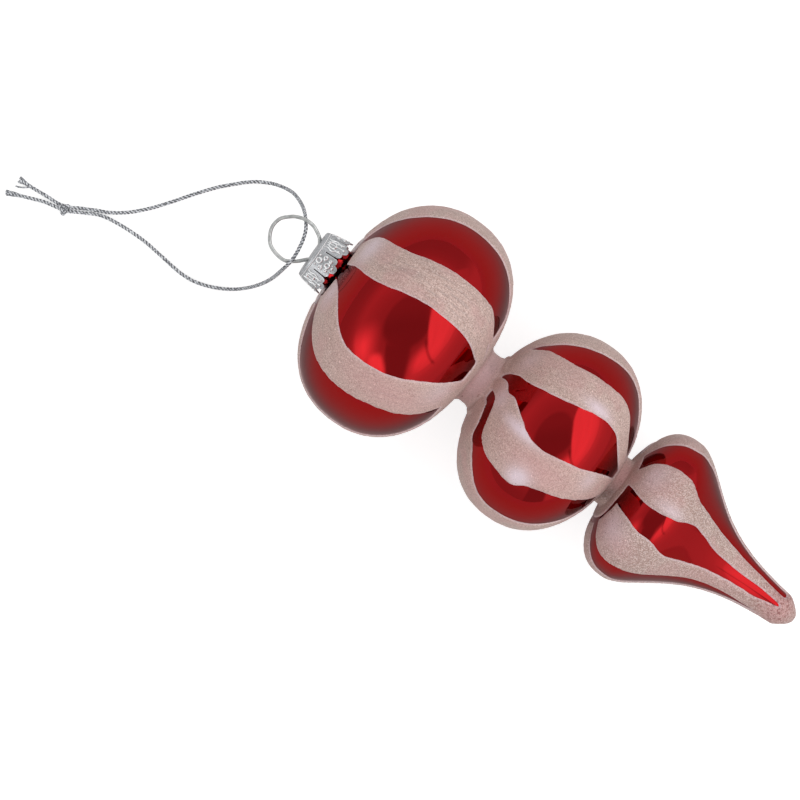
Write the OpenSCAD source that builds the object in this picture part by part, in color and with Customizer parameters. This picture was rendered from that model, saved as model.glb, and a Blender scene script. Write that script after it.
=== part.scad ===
// Glass finial ornament, lying on a flat surface as it would come to rest.
// A blown, mirrored glass body of two bulbs and a long drop carries raised glitter swirls,
// a stamped crown cap with a wire hanger in its neck, and a knotted hanging cord.
// Lengths along the ornament are measured on its axis, from the top of the cap to the tip.
// Turns round the axis are degrees from the upper side, towards the side that faces +Y.

/* [Glass body] */
// Thickness of the blown glass
glass_wall = 0.8; // [0.5:0.1:1.2]
// Diameter of the open neck inside the cap
neck_d = 12.6; // [11:0.2:13]
// Diameter of the upper bulb
upper_d = 71.2; // [56:0.2:86]
// Half of the upper bulb's length
upper_half = 24.7; // [20:0.1:30]
// Diameter of the waist between the bulbs
upper_waist_d = 16.3; // [14:0.1:20]
// Length of the waist between the bulbs
upper_waist_l = 5.8; // [4:0.1:9]
// Diameter of the middle bulb
middle_d = 60.8; // [48:0.2:74]
// Half of the middle bulb's length
middle_half = 22.7; // [18:0.1:28]
// Diameter of the waist above the drop
lower_waist_d = 15.4; // [13:0.1:19]
// Length of the waist above the drop
lower_waist_l = 2.5; // [2:0.1:5]
// Diameter of the drop
drop_d = 48; // [38:0.2:56]
// Length of the drop's round shoulder
shoulder_l = 13.1; // [11:0.1:16]
// Length of the drop from its widest ring to the tip
drop_l = 53.5; // [44:0.5:64]
// Diameter that the drop's tail narrows to
tail_d = 6.4; // [4:0.2:10]
// Length over which the tail narrows
taper_l = 35; // [28:1:42]
// Length of the rounded nose at the tip
nose_l = 4.5; // [3:0.5:8]
// Fillet where a bulb runs into a waist
waist_fillet = 1.7; // [0.8:0.1:2.5]

/* [Glitter coat] */
// How far the glitter stands up from the glass
coat_t = 0.35; // [0.2:0.05:0.6]
// Height of a stripe's thin rim
coat_rim_t = 0.14; // [0.08:0.02:0.2]
// Number of painted swirls on each bulb
stripe_n = 6; // [5:1:7]
// Width of a swirl on the upper bulb
upper_stripe_w = 13.2; // [8:0.2:16]
// Width of a swirl on the middle bulb
middle_stripe_w = 12.4; // [8:0.2:14]
// Half angle of a swirl at the drop's shoulder
drop_stripe_half = 18.5; // [10:0.5:22]
// Half angle of a swirl where the drop narrows
tail_stripe_half = 11.8; // [8:0.2:14]
// Bare glass between the cap and the start of the swirls
stripe_margin = 0.9; // [0.5:0.1:4]
// Length of the fully coated tip
coated_tip_l = 6.5; // [4:0.5:12]

/* [Crown cap] */
// Diameter of the cap's flat top
cap_top_d = 15; // [14:0.2:17]
// Diameter of the cap at its petal tips
cap_foot_d = 17.6; // [16.6:0.2:20]
// Height of the cap
cap_h = 8.2; // [7:0.1:10]
// Thickness of the cap's sheet metal
cap_sheet = 0.35; // [0.2:0.05:0.5]
// Radius of the cap's top edge
cap_edge_r = 0.7; // [0.5:0.1:1.2]
// Number of petals round the cap
petal_n = 8; // [7:1:9]
// Radius of each petal's round tip
petal_tip_r = 1.3; // [1:0.05:1.5]
// Radius of the small lobe at each side of a petal
petal_side_r = 1.15; // [0.9:0.05:1.3]
// How far the side lobes stop short of the petal tips
petal_step = 1.1; // [0.8:0.1:1.6]
// Width of the slit between two petals
slit_w = 0.28; // [0.2:0.02:0.5]
// Length of the slit above the side lobes
slit_l = 3; // [1:0.5:3.5]
// Lean of the cap on its neck
cap_lean = 2.5; // [0:0.5:3]
// How far the cap sits off the axis
cap_shift = 0.3; // [0:0.1:0.4]
// Turn of the petals round the cap
cap_turn = 6; // [0:1:44]

/* [Wire hanger] */
// Diameter of the hanger's wire
wire_d = 1.1; // [0.8:0.1:1.3]
// Radius of the loop on the wire's middle
loop_r = 6.3; // [5:0.1:8]
// Height of the loop's middle over the cap
loop_rise = 7.8; // [7:0.2:10]
// Distance between the two wire holes in the cap
hole_pitch = 5.4; // [4.6:0.2:6.2]
// Play of the wire in its holes
hole_play = 0.7; // [0.5:0.1:1]
// How far the hanger sits off the cap's middle
hanger_shift = 0.5; // [0:0.1:0.8]
// Radius of the wire's bends in the cap's holes
bend_r = 1.2; // [0.8:0.1:1.6]
// Length of the wire's legs inside the neck
leg_l = 14; // [10:1:18]

/* [Hanging cord] */
// Diameter of the twisted cord
cord_d = 1; // [0.8:0.1:1.1]
// Diameter of the knot
knot_d = 3.4; // [3:0.2:3.4]
// Length of the knot
knot_l = 3; // [2.6:0.2:3]

/* [Hidden] */
$fn = 64;

// Clearance under the coat and where one piece is fitted inside another
seat_gap = 0.06;
// Clearance between the cap's petals and the glass shoulder
foot_gap = 0.1;

// Exponents that shape each lobe: r = R * (1 - u^bulge)^(1 / fullness)
upper_bulge = 2.2;
upper_fullness = 2.6;
middle_bulge = 2.2;
middle_fullness = 2.15;
shoulder_bulge = 2.85;
shoulder_fullness = 2.2;
taper_power = 1.7;
taper_fall = 2.6;

// Turns of the swirls round each lobe, one number for each swirl
upper_turns = [-97.5, -37.5, 21, 74.5, 140, 203];
middle_turns = [-78, -22.5, 31, 76.5, 146, 213];
drop_turns = [-94, -38, 17.5, 80, 142, 204];
// Turn of the hook at the top of each swirl, and the length that it takes
upper_hook = 7;
upper_hook_l = 7;
middle_hook = 14;
middle_hook_l = 10;
drop_hook = 5;
// The widest half angle of a swirl, and what the drop's swirls gain towards the tip
widest_half = 19;
tail_spread = 8;
// How far the coat goes all round the glass, before and after each waist
collar_before = 0.7;
collar_after = 1.2;

// Shares of a swirl's width at which its surface changes height
stripe_shares = [0, 0.12, 0.37, 0.63, 0.88, 1];
gap_cells = 3;
cells_per_stripe = len(stripe_shares) - 1 + gap_cells;
column_n = stripe_n * cells_per_stripe;

// Route of the cord's loop, from the knot through the wire loop and back
loop_route = [
    [-150.3, -33.5, 1.5], [-148.2, -32.1, 1.2], [-146, -30.8, 0.8], [-143.2, -29.2, 0.8],
    [-140, -27.5, 0.8], [-135.5, -24, 0.8], [-131, -19, 0.8], [-127, -13.5, 0.8],
    [-123, -7.5, 0.8], [-119, -2, 0.8], [-115, 2.5, 0.8], [-111.5, 6, 0.8],
    [-107.7, 8.6, 1], [-103.9, 10.1, 3.9], [-99.2, 10.6, 12.5], [-95.1, 9.6, 23.5],
    [-91.5, 7.8, 34], [-88.9, 5.5, 38.3], [-87, 2.8, 39.2], [-85.9, -0.4, 39.8],
    [-85.3, -3.5, 40.5], [-85.1, -5.9, 40.8], [-85.3, -7.8, 40.3], [-85.7, -9.3, 38],
    [-86.3, -11, 33], [-87.5, -13.5, 23], [-89.5, -16.5, 13], [-92.5, -20, 5.7],
    [-96.5, -23.5, 1.8], [-101.5, -26.5, 0.8], [-107, -28.5, 0.8], [-112.5, -29, 0.8],
    [-119, -28.5, 0.8], [-126, -28, 0.8], [-132, -28.2, 0.8], [-136.5, -28.7, 0.8],
    [-139.8, -29.3, 0.8], [-142.7, -30.3, 0.8], [-145.4, -31.9, 0.8], [-147.6, -33.2, 1.2],
    [-149.8, -34.6, 1.5]
];
// Routes of the two cut ends, from the knot outwards
tail_a_route = [[-153.6, -34.7, 1.7], [-158, -35.1, 1], [-163, -35.7, 0.8], [-167.5, -36.1, 0.8]];
tail_b_route = [[-153.2, -35.8, 1.7], [-157.5, -36.9, 1], [-163, -39.2, 0.8], [-168.5, -41.6, 0.8]];
// The knot's middle, its clearance over the surface, and the direction in which the cord runs
knot_at = [-151.6, -34.7];
knot_clear = 0.2;
knot_turn = 25;
cord_sides = 8;
wire_sides = 12;
steps_per_span = 2;

function mix(a, b, share) = a + (b - a) * share;
function ease(from, to, x) = let (u = min(max((x - from) / (to - from), 0), 1)) u * u * (3 - 2 * u);
function deg(radians) = radians * 180 / PI;
// The larger of two radii, with a fillet where they cross
function blend_max(a, b, k) = let (h = max(k - abs(a - b), 0) / k) max(a, b) + h * h * k / 4;
function lobe(s, d, at, half, bulge, fullness) =
    let (u = min(abs(s - at) / half, 1)) d / 2 * pow(1 - pow(u, bulge), 1 / fullness);

// Places along the axis, one after the other from the cap's foot to the tip
shoulder_at = cap_h + foot_gap;
upper_at = shoulder_at + upper_half;
upper_end = upper_at + upper_half;
middle_start = upper_end + upper_waist_l;
middle_at = middle_start + middle_half;
middle_end = middle_at + middle_half;
drop_start = middle_end + lower_waist_l;
drop_at = drop_start + shoulder_l;
glass_tip_at = drop_at + drop_l;
nose_at = glass_tip_at - nose_l;
stripe_start = cap_h + stripe_margin;

// Outline of the glass
function tail(s) =
    let (fall = pow(1 + pow((s - drop_at) / taper_l, taper_power), taper_fall),
         nose = min(max((s - nose_at) / nose_l, 0), 1))
    mix(tail_d / 2, drop_d / 2, 1 / fall) * sqrt(1 - nose);
function drop(s) =
    s < drop_at ? lobe(s, drop_d, drop_at, shoulder_l, shoulder_bulge, shoulder_fullness) : tail(s);
function core(s) =
    s < upper_at ? neck_d / 2 : s < middle_at ? upper_waist_d / 2 : s < drop_at ? lower_waist_d / 2 : 0;
function glass_r(s) =
    let (upper = lobe(s, upper_d, upper_at, upper_half, upper_bulge, upper_fullness),
         middle = lobe(s, middle_d, middle_at, middle_half, middle_bulge, middle_fullness),
         lobes = blend_max(blend_max(upper, middle, waist_fillet), drop(s), waist_fillet))
    s >= glass_tip_at ? 0 : blend_max(lobes, core(s), waist_fillet);

// Stations along the axis, closer together where the outline turns fast
function stations(from, to, n) = [for (i = [0 : n - 1]) mix(from, to, (1 - cos(180 * i / n)) / 2)];
neck_rim_at = cap_sheet + seat_gap;
axis_stations = concat(
    [neck_rim_at, (neck_rim_at + shoulder_at) / 2],
    stations(shoulder_at, upper_end, 20),
    stations(upper_end, middle_start, 3),
    stations(middle_start, middle_end, 17),
    stations(middle_end, drop_start, 3),
    [for (i = [0 : 6]) drop_at - shoulder_l * cos(90 * i / 7)],
    [for (i = [0 : 12]) mix(drop_at, nose_at, i / 13)],
    [for (i = [0 : 3]) mix(nose_at, glass_tip_at, sin(90 * i / 4))]
);
row_n = len(axis_stations);
outline = [for (s = axis_stations) [glass_r(s), s]];
function unit(v) = v / norm(v);
function outward(i) =
    let (along = outline[min(i + 1, row_n - 1)] - outline[max(i - 1, 0)]) unit([along[1], -along[0]]);
// A point of the outline moved off the glass by a height, or into it by a negative one
function off_glass(i, height) = outline[i] + outward(i) * height;

// Pose: the axis tips until both bulbs touch the surface
function touch_u(slope, d, half, bulge, fullness) =
    pow(abs(slope) * fullness * half / (d / 2 * bulge), 1 / (bulge - 1));
function reach(slope, d, half, bulge, fullness) =
    let (u = touch_u(slope, d, half, bulge, fullness))
    lobe(u * half, d, 0, half, bulge, fullness) + abs(slope) * u * half;
first_slope = (upper_d - middle_d) / 2 / (middle_at - upper_at);
upper_reach = reach(first_slope, upper_d, upper_half, upper_bulge, upper_fullness);
middle_reach = reach(first_slope, middle_d, middle_half, middle_bulge, middle_fullness);
tilt = atan((upper_reach - middle_reach) / (middle_at - upper_at));
axis_z = upper_reach * cos(tilt) + upper_at * sin(tilt);
// A leaning cap stands off by as much as its lowest petal, which rests on the glass shoulder
cap_stand_off = cap_foot_d / 2 * sin(cap_lean);
loop_top = loop_rise + loop_r + wire_d / 2 + cap_stand_off;
middle_x = (glass_tip_at + coat_t - loop_top) / 2 * cos(tilt);
module laid() {
    translate([-middle_x, 0, axis_z])
        rotate([0, 90 + tilt, 0])
            rotate([0, 0, 180])
                children();
}

// The cap and its hanger lean together on the neck
module capped() {
    translate([0, cap_shift, cap_h - cap_stand_off])
        rotate([cap_lean, 0, 0])
            translate([0, 0, -cap_h])
                children();
}

module glass_body() {
    rim_in = [outline[0][0] - glass_wall, outline[0][1]];
    inside = [for (i = [row_n - 1 : -1 : 1]) off_glass(i, -glass_wall)];
    color("firebrick")
        laid()
            rotate_extrude()
                polygon(concat(
                    outline,
                    [[0, glass_tip_at], [0, glass_tip_at - glass_wall]],
                    [for (p = inside) if (p[0] > 0) p],
                    [rim_in]
                ));
}

// Middle of a swirl: each lobe's own turn, with a hook at its top and a slow drift
function upper_middle(k, s) =
    upper_turns[k % len(upper_turns)]
    + upper_hook * (1 - ease(stripe_start, stripe_start + upper_hook_l, s))
    + (k % 2 == 0 ? 0.1 : 0.3) * (s - upper_at);
function middle_middle(k, s) =
    middle_turns[k % len(middle_turns)]
    + middle_hook * (1 - ease(middle_start, middle_start + middle_hook_l, s))
    + 0.25 * (s - middle_at);
function drop_middle(k, s) =
    drop_turns[k % len(drop_turns)] + drop_hook * ease(drop_at, nose_at, s) * (k % 2 == 0 ? 1 : -1);
function stripe_middle(k, s) =
    let (upper = upper_middle(k, min(s, upper_end)),
         middle = middle_middle(k, min(max(s, middle_start), middle_end)))
    s < middle_at ? mix(upper, middle, ease(upper_end, middle_start, s))
                  : mix(middle, drop_middle(k, s), ease(middle_end, drop_start, s));
// Half of a swirl's angle: a constant width on the bulbs, held back on the waists
function arc_half(width, s) = min(deg(width / 2 / glass_r(s)), widest_half);
function drop_half(s) =
    mix(drop_stripe_half, tail_stripe_half, ease(drop_at - shoulder_l / 2, drop_at + shoulder_l, s))
    + tail_spread * ease(drop_at + shoulder_l, nose_at, s);
function stripe_half(s) =
    let (upper = arc_half(upper_stripe_w, s), middle = arc_half(middle_stripe_w, s))
    s < middle_at ? mix(upper, middle, ease(upper_end, middle_start, s))
                  : mix(middle, drop_half(s), ease(middle_end, drop_start, s));
// Turn of a column of the coat at one station
function column_turn(j, s) =
    let (k = floor(j / cells_per_stripe), m = j - k * cells_per_stripe, last = len(stripe_shares) - 1,
         here = stripe_middle(k % stripe_n, s) + 360 * floor(k / stripe_n),
         next = stripe_middle((k + 1) % stripe_n, s) + 360 * floor((k + 1) / stripe_n),
         half = stripe_half(s))
    m <= last ? here + half * (2 * stripe_shares[m] - 1)
              : mix(here + half, next - half, (m - last) / gap_cells);

// Stretches where the coat goes all round the glass, and where it is painted in swirls
coated_tip_at = glass_tip_at - coated_tip_l;
function all_round(s) =
    (s > upper_end - collar_before && s < middle_start + collar_after)
    || (s > middle_end - collar_before && s < drop_start + collar_after)
    || s > coated_tip_at;
function in_stripe(j) = j % cells_per_stripe < len(stripe_shares) - 1;
function coated(i, j) = all_round((axis_stations[i] + axis_stations[i + 1]) / 2) || in_stripe(j);
function rim_column(j) = let (m = j % cells_per_stripe) m == 0 || m >= len(stripe_shares) - 1;
function coat_height(i, j) = rim_column(j) && !all_round(axis_stations[i]) ? coat_rim_t : coat_t;
// The widest coated cell of a row, with its twist to the rows beside it, sets how far its
// flat facets are lifted off the round glass
function row_twist(i, j) =
    let (here = column_turn(j, axis_stations[i]))
    max(abs(column_turn(j, axis_stations[max(i - 1, 0)]) - here),
        abs(column_turn(j, axis_stations[min(i + 1, row_n - 1)]) - here));
function row_widest(i) =
    let (s = axis_stations[i], round = all_round(s))
    max([
        for (j = [0 : column_n - 1])
            if (round || in_stripe(j)) column_turn(j + 1, s) - column_turn(j, s) + row_twist(i, j)
    ]);
module coat_piece(first, last) {
    rows = last - first + 1;
    closed = last == row_n - 1;
    turns = [for (i = [first : last]) [for (j = [0 : column_n - 1]) column_turn(j, axis_stations[i])]];
    lifts = [for (i = [first : last]) 1 / cos(row_widest(i) / 2)];
    function place(i, j, height) =
        let (p = off_glass(i, seat_gap + height), r = p[0] * lifts[i - first], a = turns[i - first][j])
        [r * cos(a), -r * sin(a), p[1]];
    outer = [for (i = [first : last]) for (j = [0 : column_n - 1]) place(i, j, coat_height(i, j))];
    inner = [for (i = [first : last]) for (j = [0 : column_n - 1]) place(i, j, 0)];
    poles = [[0, 0, glass_tip_at + seat_gap + coat_t], [0, 0, glass_tip_at + seat_gap]];
    function o(i, j) = (i - first) * column_n + (j + column_n) % column_n;
    function n(i, j) = rows * column_n + o(i, j);
    function on(i, j) = i >= first && i < last && coated(i, (j + column_n) % column_n);
    function quad(a, b, c, d) = [[a, b, c], [a, c, d]];
    cells = [for (i = [first : last - 1]) for (j = [0 : column_n - 1]) if (on(i, j)) [i, j]];
    faces = [
        for (c = cells)
            let (i = c[0], j = c[1])
            for (f = concat(
                quad(o(i, j), o(i, j + 1), o(i + 1, j + 1), o(i + 1, j)),
                quad(n(i + 1, j), n(i + 1, j + 1), n(i, j + 1), n(i, j)),
                on(i, j - 1) ? [] : quad(o(i, j), o(i + 1, j), n(i + 1, j), n(i, j)),
                on(i, j + 1) ? [] : quad(o(i + 1, j + 1), o(i, j + 1), n(i, j + 1), n(i + 1, j + 1)),
                on(i - 1, j) ? [] : quad(o(i, j + 1), o(i, j), n(i, j), n(i, j + 1)),
                on(i + 1, j) || (closed && i + 1 == last) ? []
                    : quad(o(i + 1, j), o(i + 1, j + 1), n(i + 1, j + 1), n(i + 1, j))
            )) f
    ];
    pole = 2 * rows * column_n;
    nose = [
        for (j = [0 : column_n - 1])
            for (f = [[o(last, j), o(last, j + 1), pole], [n(last, j + 1), n(last, j), pole + 1]]) f
    ];
    polyhedron(concat(outer, inner, poles), closed ? concat(faces, nose) : faces, convexity = 8);
}
function first_row(s) = [for (i = [0 : row_n - 1]) if (axis_stations[i] >= s) i][0];
module glitter_coat() {
    collar_end = first_row(drop_start + collar_after);
    color("rosybrown")
        laid() {
            coat_piece(first_row(stripe_start), collar_end);
            coat_piece(collar_end + 1, row_n - 1);
        }
}

// A stamped metal crown: a flared cup with petals that are slit apart and scalloped below
module cap_sheet_form() {
    arc_n = 6;
    flare = (cap_foot_d - cap_top_d) / 2;
    top_r = cap_top_d / 2;
    in_r = cap_edge_r - cap_sheet;
    foot_r = cap_foot_d / 2;
    function arc(r) = [
        for (i = [0 : arc_n])
            [top_r - cap_edge_r + r * sin(90 * i / arc_n), cap_edge_r - r * cos(90 * i / arc_n)]
    ];
    function reversed(list) = [for (i = [len(list) - 1 : -1 : 0]) list[i]];
    rotate_extrude()
        polygon(concat(
            [[0, 0]], arc(cap_edge_r), [[foot_r, cap_h], [foot_r - cap_sheet, cap_h]],
            reversed(arc(in_r)), [[0, cap_sheet]]
        ));
}
module petal_gap() {
    half_pitch = cap_foot_d / 2 * sin(180 / petal_n);
    side_at = cap_h - petal_step - petal_side_r;
    side_x = petal_side_r + 0.2;
    gap_top = side_at - petal_side_r * 0.3;
    difference() {
        union() {
            translate([-half_pitch, gap_top])
                square([2 * half_pitch, cap_h + 1 - gap_top]);
            translate([-slit_w / 2, gap_top - slit_l])
                square([slit_w, slit_l + 1]);
        }
        for (side = [-1, 1]) {
            translate([side * half_pitch, cap_h - petal_tip_r])
                circle(r = petal_tip_r);
            translate([side * side_x, side_at])
                circle(r = petal_side_r);
            translate([side * half_pitch - petal_tip_r, gap_top - 1])
                square([2 * petal_tip_r, cap_h - petal_tip_r - gap_top + 1]);
        }
    }
}
module crown_cap() {
    hole_d = wire_d + hole_play;
    cut_from = neck_d / 2;
    color("silver")
        laid()
            capped()
                difference() {
                    cap_sheet_form();
                    for (i = [0 : petal_n - 1])
                        rotate([0, 0, cap_turn + (i + 0.5) * 360 / petal_n])
                            translate([cut_from, 0, 0])
                                rotate([90, 0, 90])
                                    linear_extrude(cap_foot_d / 2 + 1 - cut_from)
                                        petal_gap();
                    for (side = [-1, 1])
                        translate([0, side * hole_pitch / 2 - hanger_shift, -1])
                            cylinder(d = hole_d, h = cap_sheet + 2);
                }
}

// A round bar swept along a line of points, its rings square to the line
function direction(line, i) = unit(line[min(i + 1, len(line) - 1)] - line[max(i - 1, 0)]);
// Each ring's side vector is the one before it, turned square to the new direction
function sides_along(line, i = 0, before = [1, 1, 1]) =
    let (d = direction(line, i), side = unit(before - d * (before * d)))
    i == len(line) - 1 ? [side] : concat([side], sides_along(line, i + 1, side));
module swept_bar(line, d, side_n) {
    sides = sides_along(line);
    ring_n = len(line);
    points = [
        for (i = [0 : ring_n - 1])
            let (way = direction(line, i), a = sides[i], b = cross(way, a))
            for (k = [0 : side_n - 1])
                let (turn = 360 * (k + 0.5) / side_n)
                line[i] + (a * cos(turn) + b * sin(turn)) * d / 2
    ];
    function at(i, k) = i * side_n + k % side_n;
    walls = [
        for (i = [0 : ring_n - 2]) for (k = [0 : side_n - 1])
            for (f = [[at(i, k), at(i + 1, k), at(i + 1, k + 1)],
                      [at(i, k), at(i + 1, k + 1), at(i, k + 1)]]) f
    ];
    ends = [
        [for (k = [0 : side_n - 1]) at(0, k)],
        [for (k = [side_n - 1 : -1 : 0]) at(ring_n - 1, k)]
    ];
    polyhedron(points, concat(walls, ends), convexity = 10);
}

// The hanger is one bent wire: a leg, a bend in the cap's hole, the loop, and the same again
function arc_points(middle, r, from, to, n) =
    [for (i = [0 : n]) let (a = mix(from, to, i / n)) middle + r * [cos(a), sin(a)]];
module wire_hanger() {
    bend_at = cap_sheet / 2;
    bend = [hole_pitch / 2, bend_at];
    // The legs spring outwards to the inside of the neck, where it opens into the bulb
    leg_half = neck_d / 2 - glass_wall - wire_d - hanger_shift;
    leg_turn = atan((leg_half - bend[0]) / (shoulder_at - bend_at));
    leg_way = [sin(leg_turn), cos(leg_turn)];
    // The sides leave the loop's arc along its tangents through the cap's holes
    rise_to_bend = loop_rise + bend_at;
    open_half = acos(loop_r / norm([bend[0], rise_to_bend])) + atan(bend[0] / rise_to_bend);
    side_turn = 90 - open_half;
    side_way = [-sin(side_turn), cos(side_turn)];
    trim = bend_r * tan((side_turn + leg_turn) / 2);
    bend_middle = bend - side_way * trim + bend_r * [cos(side_turn), sin(side_turn)];
    half_line = concat(
        [bend + leg_way * leg_l],
        arc_points(bend_middle, bend_r, 180 - leg_turn, 180 + side_turn, 5),
        arc_points([0, -loop_rise], loop_r, 90 - open_half, -90, 17)
    );
    near_half = [for (p = half_line) [0, p[0], p[1]]];
    far_half = [for (i = [len(half_line) - 2 : -1 : 0]) [0, -half_line[i][0], half_line[i][1]]];
    color("silver")
        laid()
            capped()
                translate([0, -hanger_shift, 0])
                    swept_bar(concat(near_half, far_half), wire_d, wire_sides);
}

// A smooth curve through a cord's route
function through(p0, p1, p2, p3, t) =
    p1 + (p2 - p0) * t / 2 + (2 * p0 - 5 * p1 + 4 * p2 - p3) * t * t / 2
    + (3 * p1 - p0 - 3 * p2 + p3) * t * t * t / 2;
function curve(route) =
    let (last = len(route) - 1)
    concat(
        [for (i = [0 : last - 1]) for (k = [0 : steps_per_span - 1])
            through(route[max(i - 1, 0)], route[i], route[i + 1], route[min(i + 2, last)],
                    k / steps_per_span)],
        [route[last]]
    );
module cord_tube(route) {
    color("gainsboro")
        swept_bar(curve(route), cord_d, cord_sides);
}
module cord_loop() {
    cord_tube(loop_route);
}
module cord_tail_a() {
    cord_tube(tail_a_route);
}
module cord_tail_b() {
    cord_tube(tail_b_route);
}
// The knot is a small barrel whose flat faces meet the strands
module cord_knot() {
    face_r = knot_d * 0.36;
    arc_n = 8;
    color("gainsboro")
        translate([knot_at[0], knot_at[1], knot_d / 2 + knot_clear])
            rotate([0, 0, knot_turn])
                rotate([0, 90, 0])
                    rotate_extrude()
                        polygon(concat(
                            [[0, -knot_l / 2]],
                            [for (i = [0 : arc_n])
                                let (x = 2 * i / arc_n - 1)
                                [mix(knot_d / 2, face_r, x * x), x * knot_l / 2]],
                            [[0, knot_l / 2]]
                        ));
}

glass_body();
glitter_coat();
crown_cap();
wire_hanger();
cord_loop();
cord_tail_a();
cord_tail_b();
cord_knot();
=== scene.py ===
"""Dress the glass finial ornament for its studio picture.

The ornament lies on a white floor and is seen from straight above, as in a flat lay. Sizes
are in millimetres along the ornament's own axis, and become metres when a mesh is placed.
A place on the ornament is a station (millimetres from the top of the cap towards the tip), a
radius and a turn (degrees from the upper side towards +Y).
"""

import logging
import math
from dataclasses import dataclass, field
from enum import Enum
from typing import Any, Sequence

import bpy
import numpy as np
from bpy.types import ID, Material, Node, NodeSocket, NodeTree, Object
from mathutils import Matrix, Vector


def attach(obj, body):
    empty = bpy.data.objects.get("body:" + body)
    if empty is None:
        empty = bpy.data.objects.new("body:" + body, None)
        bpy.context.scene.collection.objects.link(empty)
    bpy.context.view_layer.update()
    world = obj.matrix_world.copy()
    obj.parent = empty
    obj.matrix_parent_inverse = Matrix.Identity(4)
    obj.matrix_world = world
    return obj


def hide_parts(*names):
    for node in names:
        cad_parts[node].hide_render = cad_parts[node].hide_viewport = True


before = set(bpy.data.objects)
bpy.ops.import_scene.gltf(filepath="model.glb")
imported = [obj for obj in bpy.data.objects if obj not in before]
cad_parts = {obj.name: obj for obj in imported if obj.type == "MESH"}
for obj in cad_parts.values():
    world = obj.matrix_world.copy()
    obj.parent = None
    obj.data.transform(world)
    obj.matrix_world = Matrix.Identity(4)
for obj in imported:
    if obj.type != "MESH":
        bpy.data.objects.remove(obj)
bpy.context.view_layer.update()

log = logging.getLogger("ornament")
MM = 0.001
WAVES = 7
PLY_MEAN, PLY_SWELL = 0.93, 0.13
Array = np.ndarray
Colour = tuple[float, float, float, float]
Point = tuple[float, float, float]


class Slot(Enum):
    """Material slots of the record."""

    GLASS = "glass"
    GLITTER = "glitter"
    CAP = "cap_metal"
    WIRE = "wire_metal"
    CORD = "cord"


# ---- shared tools


def grey(level: float) -> Colour:
    """Return a grey of a given brightness."""
    return (level, level, level, 1.0)


def ease(start: float, end: float, value: Array) -> Array:
    """Return a smooth step from 0 at start to 1 at end."""
    u = np.clip((value - start) / (end - start), 0.0, 1.0)
    return u * u * (3.0 - 2.0 * u)


def smooth_max(a: Array, b: Array, blend: float) -> Array:
    """Return the larger of two fields, with a fillet of width blend where they cross."""
    h = np.maximum(blend - np.abs(a - b), 0.0) / blend
    return np.maximum(a, b) + h * h * blend / 4.0


def curve_at(x: Array, xs: Array, ys: Array) -> Array:
    """Return the smooth curve through the points (xs, ys) at each x."""
    x, slope = np.clip(x, xs[0], xs[-1]), np.gradient(ys, xs)
    k = np.clip(np.searchsorted(xs, x, side="right") - 1, 0, len(xs) - 2)
    gap = xs[k + 1] - xs[k]
    t = (x - xs[k]) / gap
    bend = t * (1.0 - t) * gap * ((1.0 - t) * slope[k] - t * slope[k + 1])
    return ys[k] + (ys[k + 1] - ys[k]) * t * t * (3.0 - 2.0 * t) + bend


def wobble(u: Array, v: Array, seed: int) -> Array:
    """Return a smooth uneven field between about -1 and 1.

    Args:
        u: First coordinate in millimetres.
        v: Second coordinate in millimetres.
        seed: Fixed seed that chooses the waves.

    Returns:
        The field at each pair of coordinates.
    """
    rng = np.random.default_rng(seed)
    total = np.zeros(np.broadcast(u, v).shape)
    for _ in range(WAVES):
        angle, length, phase = rng.uniform(0, math.tau), rng.uniform(0.6, 1.6), rng.uniform(0, math.tau)
        total += np.sin((u * math.cos(angle) + v * math.sin(angle)) * math.tau / length + phase)
    return total / math.sqrt(WAVES)


@dataclass(frozen=True)
class Pose:
    """How the ornament lies: its axis dips towards the tip until both bulbs touch the floor."""

    dip: float = math.radians(5.6109)
    height: float = 38.8155
    middle: float = 81.2668

    def place(self, up: Array, side: Array, station: Array) -> Array:
        """Return points of the lying ornament in metres.

        Args:
            up: Distance from the axis towards the upper side.
            side: Distance from the axis towards +Y.
            station: Distance from the cap's top along the axis.

        Returns:
            An array of points in the frame of the row.
        """
        along = np.array([math.cos(self.dip), 0.0, -math.sin(self.dip)])
        upward = np.array([math.sin(self.dip), 0.0, math.cos(self.dip)])
        start = np.array([-self.middle, 0.0, self.height])
        up, side, station = np.broadcast_arrays(up, side, station)
        points = start + station[..., None] * along + up[..., None] * upward
        points[..., 1] += side
        return points * MM

    def round_place(self, radius: Array, turn: Array, station: Array) -> Array:
        """Return points given by radius, turn in degrees and station."""
        angle = np.radians(turn)
        return self.place(radius * np.cos(angle), radius * np.sin(angle), station)


@dataclass(frozen=True)
class CapSeat:
    """How the cap and its hanger lean together on the neck."""

    height: float = 8.2
    lean: float = math.radians(2.5)
    shift: float = 0.3
    stand_off: float = 0.384

    def place(self, pose: Pose, up: Array, side: Array, station: Array) -> Array:
        """Return points of the leaning cap in metres, given as on an upright cap."""
        across, drop = -np.asarray(side, float), np.asarray(station, float) - self.height
        leant = across * math.cos(self.lean) - drop * math.sin(self.lean) + self.shift
        below = across * math.sin(self.lean) + drop * math.cos(self.lean)
        return pose.place(np.asarray(up, float), -leant, below + self.height - self.stand_off)


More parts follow.
